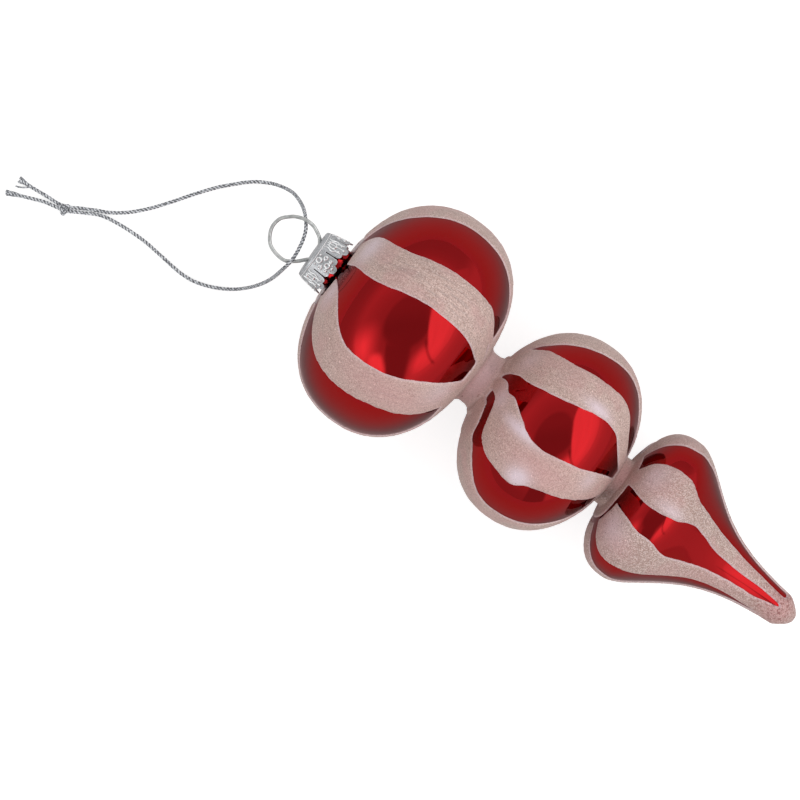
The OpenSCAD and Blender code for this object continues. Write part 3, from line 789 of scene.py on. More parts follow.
@dataclass
class GlitterCoat:
    """The raised swirls, the coated waists and the coated tip, painted as one skin."""

    glass: GlassBody
    height: float = 0.40
    rim: float = 1.15
    bead: float = 0.05
    corners: tuple[tuple[float, ...], ...] = ((57.35, 1.0, 2.6), (63.85, -1.0, 2.6))
    fill_after: float = 2.5
    fill_ease: float = 0.8
    collars: tuple[Point, ...] = ((54.6, 64.4, 1.5), (107.9, 112.5, 0.35))
    slits: tuple[tuple[float, ...], ...] = ((54.2, 22.5, 56.1, 16.0, 0.30),)
    tip_from: float = 171.8
    joined: float = 0.5
    hand_wave: float = 0.06
    collar_wave: float = 0.35
    tip_wave: float = 0.8
    tip_blend: float = 1.2
    lumps: float = 0.03
    marks: tuple[tuple[str, tuple[tuple[float, ...], ...]], ...] = (
        ("frost", (
            (11.4, 29.5, 4.5, 6.0, 0.85), (10.2, -21.0, 4.0, 5.0, 0.6), (59.7, 18.5, 4.0, 9.0, 0.35),
            (50.6, -22.0, 5.0, 5.0, 0.35), (67.1, -4.0, 4.0, 4.0, 0.6), (76.1, -10.5, 7.0, 1.9, 1.15),
            (83.5, -32.5, 3.4, 3.4, 1.25), (89.9, 25.0, 4.5, 2.0, 1.0), (100.2, -10.0, 3.0, 3.5, 0.5),
            (67.5, 41.5, 4.0, 5.0, 0.4), (115.9, 23.0, 4.0, 5.0, 0.5), (124.9, 6.0, 5.0, 2.2, 0.6),
            (115.2, -32.5, 5.5, 5.0, 0.6))),
        # Rose patches: partly the paint's own tone; those on the two waist collars are painted red reflection
        # of the glass and painted shade.
        ("rose_tone_reflection_and_shade", (
            (60.0, -10.0, 4.6, 14.0, 0.85), (38.0, -34.0, 18.0, 7.0, 0.60), (86.0, -22.0, 14.0, 7.0, 0.65),
            (110.3, 15.0, 3.0, 6.0, 0.85), (171.0, 0.0, 6.0, 9.0, 0.85), (150.0, -35.0, 14.0, 5.0, 0.45),
            (119.0, 15.0, 6.0, 6.0, 0.5), (119.0, -38.0, 6.0, 5.0, 0.6))),
        ("smear", (
            (109.7, -31.0, 2.6, 3.6, 0.90), (109.5, -8.0, 2.0, 2.5, 0.25), (60.4, 35.0, 3.0, 1.8, 0.30),
            (64.2, -46.0, 2.5, 2.0, 0.30), (22.0, 18.0, 3.0, 3.0, 0.16), (27.0, 26.0, 5.0, 1.2, 0.22))),
        ("stroked", (
            (28.0, 20.0, 22.0, 7.0, 1.0), (44.0, -33.0, 14.0, 5.0, 0.5), (85.0, 30.0, 12.0, 5.0, 0.5),
            (150.0, 20.0, 20.0, 4.0, 0.4))),
        ("dots", (
            (59.3, -56.0, 0.5, 0.5, 1.6), (55.5, -9.0, 0.5, 1.0, 1.4), (62.9, -30.0, 0.4, 0.4, 1.6),
            (171.5, 0.0, 5.5, 8.0, 0.8), (109.2, -31.0, 1.4, 1.0, 0.7),
            (166.0, -30.0, 4.0, 3.0, 0.6), (164.0, 25.0, 4.0, 3.0, 0.6))))
    flake_r: float = 0.13
    flake_density: float = 1.1e6
    flake_sizes: tuple[float, float] = (0.45, 1.2)
    row_step: float = 0.62
    column_step: float = 1.05
    swirls: tuple[Swirl, ...] = (UPPER_A, UPPER_B, MIDDLE_A, MIDDLE_B, MIDDLE_C, DROP_A, DROP_B)

    def painted(self, line: Array, turn: Array) -> Array:
        """Return how far inside the painted edge each place is, in millimetres.

        Args:
            line: Distances along the outline.
            turn: Turns in degrees, one for each distance or as a row against their column.

        Returns:
            The distance to the nearest edge, below zero on bare glass.
        """
        glass = self.glass
        _, r, _, _ = glass.at(line)
        arc = np.radians(turn) * np.maximum(r, 4.0)
        field_mm = np.full(np.broadcast(line, turn).shape, -50.0)
        for swirl in self.swirls:
            start, end = glass.line_of(swirl.ends[0]), glass.line_of(swirl.ends[1])
            at, left, right = (np.array(v) for v in zip(*swirl.edges))
            where = glass.line_of(at)
            low, high = curve_at(line, where, left), curve_at(line, where, right)
            for number, shift in enumerate(swirl.turns):
                middle, half = (low + high) / 2 + shift, (high - low) / 2
                away = np.abs((turn - middle + 180.0) % 360.0 - 180.0)
                inside = np.minimum(np.radians(half - away) * r, np.minimum(line - start, end - line))
                inside = inside + self.hand_wave * wobble(line / 7.0, arc / 7.0 + 9.0 * number, 11)
                field_mm = smooth_max(field_mm, inside, self.joined)
        for number, (start, end, blend) in enumerate(self.collars):
            uneven = self.collar_wave * wobble(np.zeros_like(line) + number, turn / 60.0, 23 + number)
            low, high = glass.line_of(start) + uneven, glass.line_of(end) + uneven * 0.6
            field_mm = smooth_max(field_mm, np.minimum(line - low, high - line), blend)
        for s_a, turn_a, s_b, turn_b, half in self.slits:
            run, across = glass.line_of(s_b) - glass.line_of(s_a), np.radians(turn_b - turn_a) * r
            ahead, aside = line - glass.line_of(s_a), np.radians(turn - turn_a) * r
            share = np.clip((ahead * run + aside * across) / (run**2 + across**2 + 1e-9), 0.0, 1.0)
            field_mm = np.minimum(field_mm, np.hypot(ahead - share * run, aside - share * across) - half)
        uneven = self.tip_wave * wobble(np.zeros_like(line), turn / 70.0, 31)
        return smooth_max(field_mm, line - glass.line_of(self.tip_from) + uneven, self.tip_blend)

    def build(self, finish: Material) -> Object:
        """Make the painted skin, with round rims and an uneven face."""
        glass = self.glass
        rows = np.arange(glass.line_of(8.5), glass.length - 0.4, self.row_step)
        columns = np.linspace(0.0, 360.0, int(360 / self.column_step), endpoint=False)
        places, faces = Sheet(rows, columns).cut(self.painted(rows[:, None], columns[None, :]))
        line, turn = places.T
        depth = self.painted(line, turn)
        s, r, _, _ = glass.at(line)
        arc = np.radians(turn) * np.maximum(r, 4.0)
        rounded = np.sqrt(np.clip(1.0 - (1.0 - np.clip(depth / self.rim, 0, 1)) ** 2, 0, 1))
        bead = self.bead * np.exp(-((depth - self.rim) / 0.7) ** 2)
        lumps = self.lumps * wobble(line / 4.0, arc / 4.0, 5) * np.clip(depth, 0, 1)
        thin = 1.0 - 0.5 * ease(110.8, 111.8, s) * (1.0 - ease(112.8, 115.0, s))
        height = np.where(depth < 0.02, -0.05, (self.height * rounded + bead + lumps) * thin + 0.02)
        points = self.filled_skin(line, turn, height, np.clip(depth / self.fill_after, 0.0, 1.0))
        last = [k for k, (row, _) in enumerate(places) if row > rows[-1] - 1e-6]
        order = sorted(last, key=lambda k: places[k, 1])
        tip = glass.pose.place(0.0, 0.0, glass.tip + self.height)
        faces += [[order[k], len(points), order[(k + 1) % len(order)]] for k in range(len(order))]
        piece = mesh_piece("glitter_coat_shown", np.vstack([points, tip[None, :]]), faces, finish)
        store(piece, "depth", np.append(np.clip(depth, 0, 9), 3.0))
        store(piece, "along", np.append(line, line[-1]))
        store(piece, "coarse", np.append(ease(111.0, 119.0, s), 1.0))
        for name, patches in self.marks:
            store(piece, name, np.append(self.mark_at(patches, line, turn, r), 0.0))
        return piece

    def filled_skin(self, line: Array, turn: Array, height: Array,
                    share: Array) -> Array:
        """Return points that stand off the glass, with thick paint in the corners of the waists.

        Args:
            line: Distances along the outline.
            turn: Turns in degrees.
            height: How far each point stands off.
            share: How much of the corner's fillet each point takes, from 0 to 1.

        Returns:
            The points in metres.
        """
        s, r, along, off = self.glass.at(line)
        for wall, towards, radius in self.corners:
            back, under = wall + towards * radius - s, self.glass.waists[0] + radius - r
            size = np.maximum(np.hypot(back, under), 1e-6)
            corner = ease(0.0, self.fill_ease, back * towards) * ease(0.0, self.fill_ease, under)
            corner = corner * (np.abs(back) < radius + self.fill_ease)
            pull = np.maximum(size - radius, 0.0) * corner * share
            weight = np.clip(pull / 0.15, 0.0, 1.0)
            s, r = s + back / size * pull, r + under / size * pull
            along, off = (part * (1.0 - weight) + way / size * weight
                          for part, way in ((along, back), (off, under)))
        return self.glass.pose.round_place(r + off * height, turn, s + along * height)

    def mark_at(self, patches: Sequence[Sequence[float]], line: Array, turn: Array,
                r: Array) -> Array:
        """Return how strong a mark is at each point.

        Args:
            patches: Station, turn, length, width and strength of each patch of the mark.
            line: Distances along the outline.
            turn: Turns in degrees.
            r: Radii.

        Returns:
            The strength at each point, from 0 up.
        """
        total = np.zeros(len(line))
        for station, at, long, wide, strength in patches:
            ahead = (line - self.glass.line_of(station)) / long
            aside = np.radians((turn - at + 180.0) % 360.0 - 180.0) * r / wide
            total = np.maximum(total, strength * np.exp(-(ahead**2 + aside**2)))
        return total

    def flakes(self, coat: Object, finish: Material) -> Object:
        """Scatter small flakes over the paint with Geometry Nodes."""
        source = linked("flake_ground", coat.data.copy())
        tree = GeometryTree("glitter_scatter", {
            "Flake Radius": ("NodeSocketFloat", self.flake_r * MM),
            "Per Square Metre": ("NodeSocketFloat", self.flake_density),
            "Seed": ("NodeSocketInt", 4), "Finish": ("NodeSocketMaterial", finish)})
        graph, entry = tree.graph, tree.entry.outputs
        depth = graph.add("GeometryNodeInputNamedAttribute", {"Name": "depth"}, data_type="FLOAT")
        well_in = graph.add("FunctionNodeCompare", {0: depth.outputs[0], 1: 0.5}, operation="GREATER_THAN")
        spots = graph.add("GeometryNodeDistributePointsOnFaces", {
            "Mesh": entry["Geometry"], "Selection": well_in.outputs[0],
            "Density": entry["Per Square Metre"], "Seed": entry["Seed"]})
        flake = graph.add("GeometryNodeMeshCircle", {"Vertices": 5, "Radius": entry["Flake Radius"]},
                          fill_type="NGON")
        tip_over = graph.add("FunctionNodeRandomValue", {
            0: (-0.5, -0.5, -3.14), 1: (0.5, 0.5, 3.14), "Seed": entry["Seed"]}, data_type="FLOAT_VECTOR")
        turned = graph.add("FunctionNodeRotateRotation", {
            0: spots.outputs["Rotation"], 1: tip_over.outputs[0]}, rotation_space="LOCAL")
        size = graph.add("FunctionNodeRandomValue", {
            2: self.flake_sizes[0], 3: self.flake_sizes[1], "Seed": entry["Seed"]}, data_type="FLOAT")
        placed = graph.add("GeometryNodeInstanceOnPoints", {
            "Points": spots.outputs["Points"], "Instance": flake.outputs["Mesh"],
            "Rotation": turned.outputs[0], "Scale": size.outputs[1]})
        tree.finish(placed.outputs["Instances"])
        return tree.run(source, "glitter_flakes")


@dataclass
class CrownCap:
    """The stamped metal cap, with its petals and raised filigree."""

    pose: Pose
    seat: CapSeat
    top: float = 7.5
    foot: float = 8.8
    edge: float = 0.7
    sheet: float = 0.3
    petals: int = 8
    turn: float = -6.0
    tip_r: float = 1.3
    side_r: float = 1.15
    step: float = 1.1
    slit: float = 0.28
    slit_l: float = 3.0
    holes: float = 0.9
    pitch: float = 2.7
    hanger_shift: float = 0.5
    raised: float = 0.27

    def spans(self) -> Point:
        """Return the lengths of the outline's flat top, its bend and its skirt."""
        skirt = math.hypot(self.foot - self.top, self.seat.height - self.edge)
        return self.top - self.edge, self.edge * math.pi / 2, skirt

    def outline(self, line: Array) -> tuple[Array, Array, Array, Array]:
        """Return radius, station and the outward direction's parts along the cap's outline."""
        flat, bend, skirt = self.spans()
        on_bend = np.clip((line - flat) / bend, 0, 1) * math.pi / 2
        down = np.clip(line - flat - bend, 0, None) / skirt
        r = np.where(line < flat, line, flat + self.edge * np.sin(on_bend)) + (self.foot - self.top) * down
        s = self.edge * (1 - np.cos(on_bend)) + (self.seat.height - self.edge) * down
        return r, s, -np.cos(on_bend), np.sin(on_bend)

    def petal_place(self, r: Array, turn: Array) -> Array:
        """Return the distance across a petal from its middle."""
        pitch = 360.0 / self.petals
        away = (turn + pitch / 2) % pitch - pitch / 2
        return np.radians(away) * r

    def sheet_left(self, r: Array, s: Array, turn: Array) -> Array:
        """Return how far inside the sheet's cut edge each place is."""
        half, low = self.foot * math.sin(math.pi / self.petals), self.seat.height
        x = self.petal_place(r, turn) * half / (r * math.pi / self.petals + 1e-9)
        side_at = low - self.step - self.side_r
        gap_top = side_at - 0.3 * self.side_r
        tip = self.tip_r - np.hypot(x, np.maximum(s - (low - self.tip_r), 0.0))
        lobe = self.side_r - np.hypot(np.abs(x) - (half - self.side_r - 0.2), s - side_at)
        left = np.maximum(np.maximum(tip, lobe), gap_top - s)
        slit = np.maximum(half - np.abs(x) - self.slit / 2,
                          np.maximum(s - gap_top, (gap_top - self.slit_l) - s))
        left, angle = np.minimum(left, slit), np.radians(turn + self.turn)
        up, side = r * np.cos(angle), r * np.sin(angle)
        for way in (-1, 1):
            hole = np.hypot(up, side - self.hanger_shift - way * self.pitch) - self.holes
            left = np.where(s < 0.4, np.minimum(left, hole), left)
        return left

    def relief(self, r: Array, s: Array, turn: Array) -> Array:
        """Return the height of the raised filigree, from 0 to 1."""
        x = self.petal_place(r, turn)
        number = np.round(turn / (360.0 / self.petals)).astype(int) % 2

        def line(distance: Array, width: float) -> Array:
            """Return a round ridge along a line."""
            return np.clip(1.0 - (distance / width) ** 2, 0.0, 1.0)

        def ring(cx: float, cs: float, radius: float, width: float = 0.26) -> Array:
            """Return a ridge along a circle on each half of a petal."""
            return line(np.abs(np.hypot(np.abs(x) - cx, s - cs) - radius), width)

        rings = np.maximum.reduce([
            ring(0.0, 2.25, 0.72, 0.30), ring(0.0, 5.15, 0.66, 0.30), ring(1.62, 3.6, 0.5),
            ring(1.5, 5.35, 0.34),
            line(np.hypot(np.abs(x) - 1.55, s - 1.75), 0.36), line(np.hypot(np.abs(x) - 0.95, s - 3.7), 0.30),
            line(np.hypot(x, s - 6.75), 0.42), line(np.hypot(np.abs(x) - 0.72, s - 6.5), 0.24)])
        bend = np.abs(x) - 0.55 * np.abs(s - 1.6) ** 0.8 * 0.55
        leaf = np.maximum.reduce([
            line(np.abs(x), 0.20) * (s > 1.5) * (s < 6.9),
            line(np.abs(bend - 0.55), 0.2) * (s > 1.7) * (s < 6.2),
            line(np.abs(np.abs(x) - 1.75 - 0.25 * np.sin(s * 2.1)), 0.24) * (s > 1.4) * (s < 5.6),
            ring(0.0, 3.2, 1.1), line(np.hypot(np.abs(x) - 1.15, s - 5.5), 0.42),
            line(np.hypot(x, s - 6.6), 0.5)])
        band = line(np.abs(s - 1.0), 0.16)
        return np.maximum(np.where(number == 0, rings, leaf), 0.7 * band) * (s > 0.85)

    def build(self, finish: Material) -> Object:
        """Cut the cap's sheet to its petals, raise the filigree and give the sheet its thickness."""
        flat, bend, skirt = self.spans()
        rows = np.concatenate([np.linspace(0.02, flat, 40), flat + np.linspace(0, bend, 12)[1:],
                               flat + bend + np.linspace(0, skirt + 0.1, 84)[1:]])
        columns = np.linspace(0.0, 360.0, 496, endpoint=False)
        r, s, _, _ = self.outline(rows[:, None])
        places, faces = Sheet(rows, columns).cut(self.sheet_left(r, s, columns[None, :]))
        line, turn = places.T
        r, s, along, off = self.outline(line)
        raised = self.relief(r, s, turn)
        inside = np.clip(self.sheet_left(r, s, turn) / 0.3, 0, 1)
        out = self.raised * raised * inside - 0.05 * (1 - inside)
        angle = np.radians(turn + self.turn)
        rr, ss = r + off * out, s + along * out
        points = self.seat.place(self.pose, rr * np.cos(angle), rr * np.sin(angle), ss)
        piece = mesh_piece("crown_cap_shown", points, faces, finish)
        store(piece, "relief", raised * inside)
        thick = piece.modifiers.new("sheet", "SOLIDIFY")
        thick.thickness, thick.offset = self.sheet * MM, -1.0
        return piece


@dataclass
class WireHanger:
    """The bent wire: a loop over the cap and two legs sprung inside the neck."""

    pose: Pose
    seat: CapSeat
    diameter: float = 1.1
    legs: tuple[tuple[Point, ...], ...] = (
        ((5.245, 14.03, 0.0), (4.25, 7.5, 0.0), (3.55, 3.2, 0.0), (3.18, 1.6, 0.0)),
        ((-2.35, 1.6, 0.0), (-2.65, 3.2, 0.0), (-3.3, 7.5, 0.0), (-4.245, 14.03, 0.0)))
    loop: tuple[Point, ...] = (
        (3.08, 0.38, 0.0), (4.76, -1.01, 0.0), (6.26, -3.61, 0.0), (6.71, -5.49, 0.15), (6.65, -7.43, 0.15),
        (6.09, -9.33, 0.0), (5.05, -11.17, 0.0), (2.65, -13.46, 0.0), (-0.37, -14.00, 0.0),
        (-3.19, -13.01, 0.0), (-5.14, -11.35, 0.0), (-6.23, -8.83, 0.0), (-6.51, -5.75, 0.0),
        (-5.56, -3.76, 0.0), (-4.26, -2.02, 0.0), (-2.21, 0.09, 0.0))

    def line(self) -> Array:
        """Return the wire's line in metres, from one leg's end over the loop to the other's."""
        side, station, up = smooth_line(np.array([*self.legs[0], *self.loop, *self.legs[1]]), 10).T
        return self.seat.place(self.pose, up, side, station)

    def build(self, finish: Material) -> Object:
        """Sweep the wire along its line with Geometry Nodes."""
        return swept("wire_hanger_shown", self.line(), self.diameter / 2, finish, lobes=0, sides=20)


def smooth_line(points: Array, count: int) -> Array:
    """Return a smooth curve through points, with count steps for each span."""
    padded = np.vstack([points[0], points, points[-1]])
    out = []
    for p0, p1, p2, p3 in zip(padded, padded[1:], padded[2:], padded[3:]):
        for t in np.arange(count) / count:
            out.append(p1 + (p2 - p0) * t / 2 + (2 * p0 - 5 * p1 + 4 * p2 - p3) * t * t / 2
                       + (3 * p1 - p0 - 3 * p2 + p3) * t**3 / 2)
    return np.vstack([out, points[-1]])


def swept(name: str, points: Array, radius: float, finish: Material, lobes: int = 0,
          pitch: float = 2.4, sides: int = 16, step: float = 0.0) -> Object:
    """Sweep a round or a twisted section along a line with Geometry Nodes.

    Args:
        name: The piece's name.
        points: The line, in metres.
        radius: The section's outer radius in millimetres.
        finish: Its material.
        lobes: How many plies the section shows, or 0 for a plain round.
        pitch: Length of one whole twist in millimetres.
        sides: Sides of the section.
        step: Distance between rings in millimetres, or 0 for the line's own points.

    Returns:
        The swept piece as a plain mesh.
    """
    curve = bpy.data.curves.new(name + "_line", "CURVE")
    curve.dimensions = "3D"
    spline = curve.splines.new("POLY")
    spline.points.add(len(points) - 1)
    for point, place in zip(spline.points, points):
        point.co = (*place, 1.0)
    source = linked(name + "_line", curve)
    tree = GeometryTree(name + "_sweep", {
        "Radius": ("NodeSocketFloat", radius * MM), "Pitch": ("NodeSocketFloat", pitch * MM),
        "Step": ("NodeSocketFloat", max(step, 0.05) * MM), "Finish": ("NodeSocketMaterial", finish)})
    graph, entry = tree.graph, tree.entry.outputs
    line = entry["Geometry"]
    if step:
        even = graph.add("GeometryNodeResampleCurve", {"Curve": line, "Length": entry["Step"]}, mode="LENGTH")
        line = even.outputs["Curve"]
    run = graph.add("GeometryNodeSplineParameter").outputs["Length"]
    twist = graph.times(graph.maths("DIVIDE", run, entry["Pitch"]), math.tau)
    tilted = graph.add("GeometryNodeSetCurveTilt", {"Curve": line, "Tilt": twist if lobes else 0.0})
    section = graph.add("GeometryNodeCurvePrimitiveCircle", {
        "Resolution": sides, "Radius": entry["Radius"]}, mode="RADIUS").outputs["Curve"]
    if lobes:
        index = graph.add("GeometryNodeInputIndex").outputs["Index"]
        wave = graph.maths("COSINE", graph.times(index, lobes * math.tau / sides))
        pull = graph.scaled(wave, PLY_SWELL, PLY_MEAN)
        place = graph.add("GeometryNodeInputPosition").outputs["Position"]
        scaled = graph.add("ShaderNodeVectorMath", {0: place, "Scale": pull}, operation="SCALE")
        lobed = graph.add("GeometryNodeSetPosition", {"Geometry": section, "Position": scaled.outputs[0]})
        marked = graph.add("GeometryNodeStoreNamedAttribute", {
            "Geometry": lobed.outputs["Geometry"], "Name": "ply", "Value": wave}, data_type="FLOAT")
        section = marked.outputs["Geometry"]
    body = graph.add("GeometryNodeCurveToMesh", {
        "Curve": tilted.outputs["Curve"], "Profile Curve": section, "Fill Caps": True})
    smooth = graph.add("GeometryNodeSetShadeSmooth", {"Geometry": body.outputs["Mesh"]})
    tree.finish(smooth.outputs["Geometry"])
    return tree.run(source, name)


@dataclass(frozen=True)
class Fray:
    """How one cut end frays: where it starts, its half width, its reach, its parting and its count."""

    back: float
    spread: float
    past: float
    parting: float
    count: int


@dataclass
class HangingCord:
    """The knotted cord: one twisted thread from cut end to cut end, its knot and its frayed ends."""

    diameter: float = 1.0
    pitch: float = 3.4
    plump: float = 1.14
    loop: tuple[Point, ...] = (
        (-150.3, -33.5, 1.5), (-148.2, -32.1, 1.2), (-146.0, -30.8, 0.8), (-143.2, -29.2, 0.8),
        (-140.0, -27.5, 0.8), (-135.5, -24.0, 0.8), (-131.0, -19.0, 0.8), (-127.0, -13.5, 0.8),
        (-123.0, -7.5, 0.8), (-119.0, -2.0, 0.8), (-115.0, 2.5, 0.8), (-111.5, 6.0, 0.8),
        (-107.7, 8.6, 1.0), (-103.9, 10.1, 3.9), (-99.2, 10.6, 12.5), (-95.1, 9.6, 23.5),
        (-91.5, 7.8, 34.0), (-88.9, 5.5, 38.3), (-87.0, 2.8, 39.2), (-85.9, -0.4, 39.8),
        (-85.3, -3.5, 40.5), (-85.1, -5.9, 40.8), (-85.3, -7.8, 40.3), (-85.7, -9.3, 38.0),
        (-86.3, -11.0, 33.0), (-87.5, -13.5, 23.0), (-89.5, -16.5, 13.0), (-92.5, -20.0, 5.7),
        (-96.5, -23.5, 1.8), (-101.5, -26.5, 0.8), (-107.0, -28.5, 0.8), (-112.5, -29.0, 0.8),
        (-119.0, -28.5, 0.8), (-126.0, -28.0, 0.8), (-132.0, -28.2, 0.8), (-136.5, -28.7, 0.8),
        (-139.8, -29.3, 0.8), (-142.7, -30.3, 0.8), (-145.4, -31.9, 0.8), (-147.6, -33.2, 1.2),
        (-149.8, -34.6, 1.5))
    tail_a: tuple[Point, ...] = (
        (-153.6, -34.7, 1.7), (-158.0, -35.1, 1.0), (-163.0, -35.7, 0.8), (-167.5, -36.1, 0.8))
    tail_b: tuple[Point, ...] = (
        (-153.2, -35.8, 1.7), (-157.5, -36.9, 1.0), (-163.0, -39.2, 0.8), (-168.5, -41.6, 0.8))
    knot_at: Point = (-151.4, -35.0, 1.9)
    knot_turn: float = math.radians(25.0)
    knot_scale: float = 0.56
    knot_rise: float = 0.70
    filament_r: float = 0.13
    loose_r: float = 0.26
    loose: tuple[Point, ...] = (
        (-163.9, -36.1, 0.9), (-164.7, -36.9, 0.7), (-165.7, -37.6, 0.5), (-166.8, -38.2, 0.4),
        (-167.6, -38.4, 0.4))

    def route(self) -> Array:
        """Return the cord's line in metres, from one cut end to the other."""
        tail_a, tail_b = np.array(self.tail_a)[::-1], np.array(self.tail_b)
        return smooth_line(np.vstack([tail_a, self.loop, tail_b]), 10) * MM

    def build(self, finish: Material) -> None:
        route = self.route()
        cord = swept("hanging_cord", route, self.plump * self.diameter / 2, finish, lobes=3,
                     pitch=self.pitch, sides=18, step=0.20)
        knot, frays = self.knot(finish), self.frays(finish)
        dress(cord, Slot.CORD, "cord_loop", "cord_tail_a", "cord_tail_b")
        dress(knot, Slot.CORD, "cord_knot")
        dress(frays, Slot.CORD)

    def knot(self, finish: Material) -> Object:
        """Make the knot: the cord tied once over itself, in three uneven turns."""
        way = np.array([math.cos(self.knot_turn), math.sin(self.knot_turn), 0.0])
        across = np.array([-way[1], way[0], 0.0])
        angle = np.linspace(0.25, math.tau + 0.05, 110)
        uneven = 1.0 + 0.10 * np.sin(angle + 1.0)
        along = self.knot_scale * uneven * (np.sin(angle) + 2.0 * np.sin(2.0 * angle))
        aside = self.knot_scale * uneven * (np.cos(angle) - 2.0 * np.cos(2.0 * angle))
        over = -self.knot_rise * np.sin(3.0 * angle)
        line = (np.array(self.knot_at) + along[:, None] * way + aside[:, None] * across
                + over[:, None] * np.array([0.0, 0.0, 1.0]))
        return swept("cord_knot_shown", line * MM, self.diameter / 2, finish, lobes=3, pitch=self.pitch,
                     sides=14, step=0.20)

    def frays(self, finish: Material) -> Object:
        """Make the loose filaments at the two cut ends."""
        rng = np.random.default_rng(8)
        points, faces = [], []
        for tail, fray in ((self.tail_a, Fray(4.0, 0.95, 0.35, 0.30, 20)),
                           (self.tail_b, Fray(6.0, 0.78, 0.15, 0.0, 24))):
            end, before = np.array(tail[-1]), np.array(tail[-2])
            way = (end - before) / np.linalg.norm(end - before)
            across = np.array([-way[1], way[0], 0.0])
            for k in range(fray.count):
                lane = (k / (fray.count - 1) - 0.5) * 2
                lane = math.copysign(fray.parting + (1.0 - fray.parting) * abs(lane), lane)
                share = np.linspace(0.0, 1.0, 8)
                reach = fray.back + fray.past * (1.0 - 0.5 * lane) + rng.uniform(-0.35, 0.2)
                side = lane * (0.34 + (fray.spread - 0.34) * share**1.3) + rng.uniform(-0.08, 0.08)
                side = side + 0.09 * np.sin(share * rng.uniform(3, 7) + rng.uniform(0, 6))
                line = end - fray.back * way + (share * reach)[:, None] * way + side[:, None] * across
                line[:, 2] = np.clip(end[2] + rng.uniform(-0.45, 0.45) * (1 - 0.3 * share), 0.18, None)
                self.filament(points, faces, line, self.filament_r)
        self.filament(points, faces, np.array(self.loose), self.loose_r)
        return mesh_piece("cord_frayed_ends", np.array(points) * MM, faces, finish)

    @staticmethod
    def filament(points: list, faces: list, line: Array, radius: float) -> None:
        """Add one thin filament along a line to lists of points and faces."""
        sides, base = 5, len(points)
        for k, place in enumerate(line):
            way = line[min(k + 1, len(line) - 1)] - line[max(k - 1, 0)]
            way = way / np.linalg.norm(way)
            across = np.cross(way, [0.0, 0.0, 1.0])
            across = across / np.linalg.norm(across)
            over = np.cross(across, way)
            for turn in np.arange(sides) * math.tau / sides:
                points.append(place + radius * (math.cos(turn) * across + math.sin(turn) * over))
        for k in range(len(line) - 1):
            for j in range(sides):
                a, b = base + k * sides + j, base + k * sides + (j + 1) % sides
                faces.append([a, a + sides, b + sides, b])
        faces.append([base + j for j in range(sides)])
        faces.append([base + (len(line) - 1) * sides + j for j in reversed(range(sides))])


# ---- the studio


@dataclass(frozen=True)
class SoftBox:
    """A bright window of the light tent, as a mirror shows it.

    Its place is given on a round chart of the sky: 0, 0 is straight overhead, a radius of 1 is
    the horizon, and the first number grows towards the picture's right.
    """

    at: tuple[float, float]
    reach: tuple[float, float]
    level: float
    fade: float
    power: float = 2.0


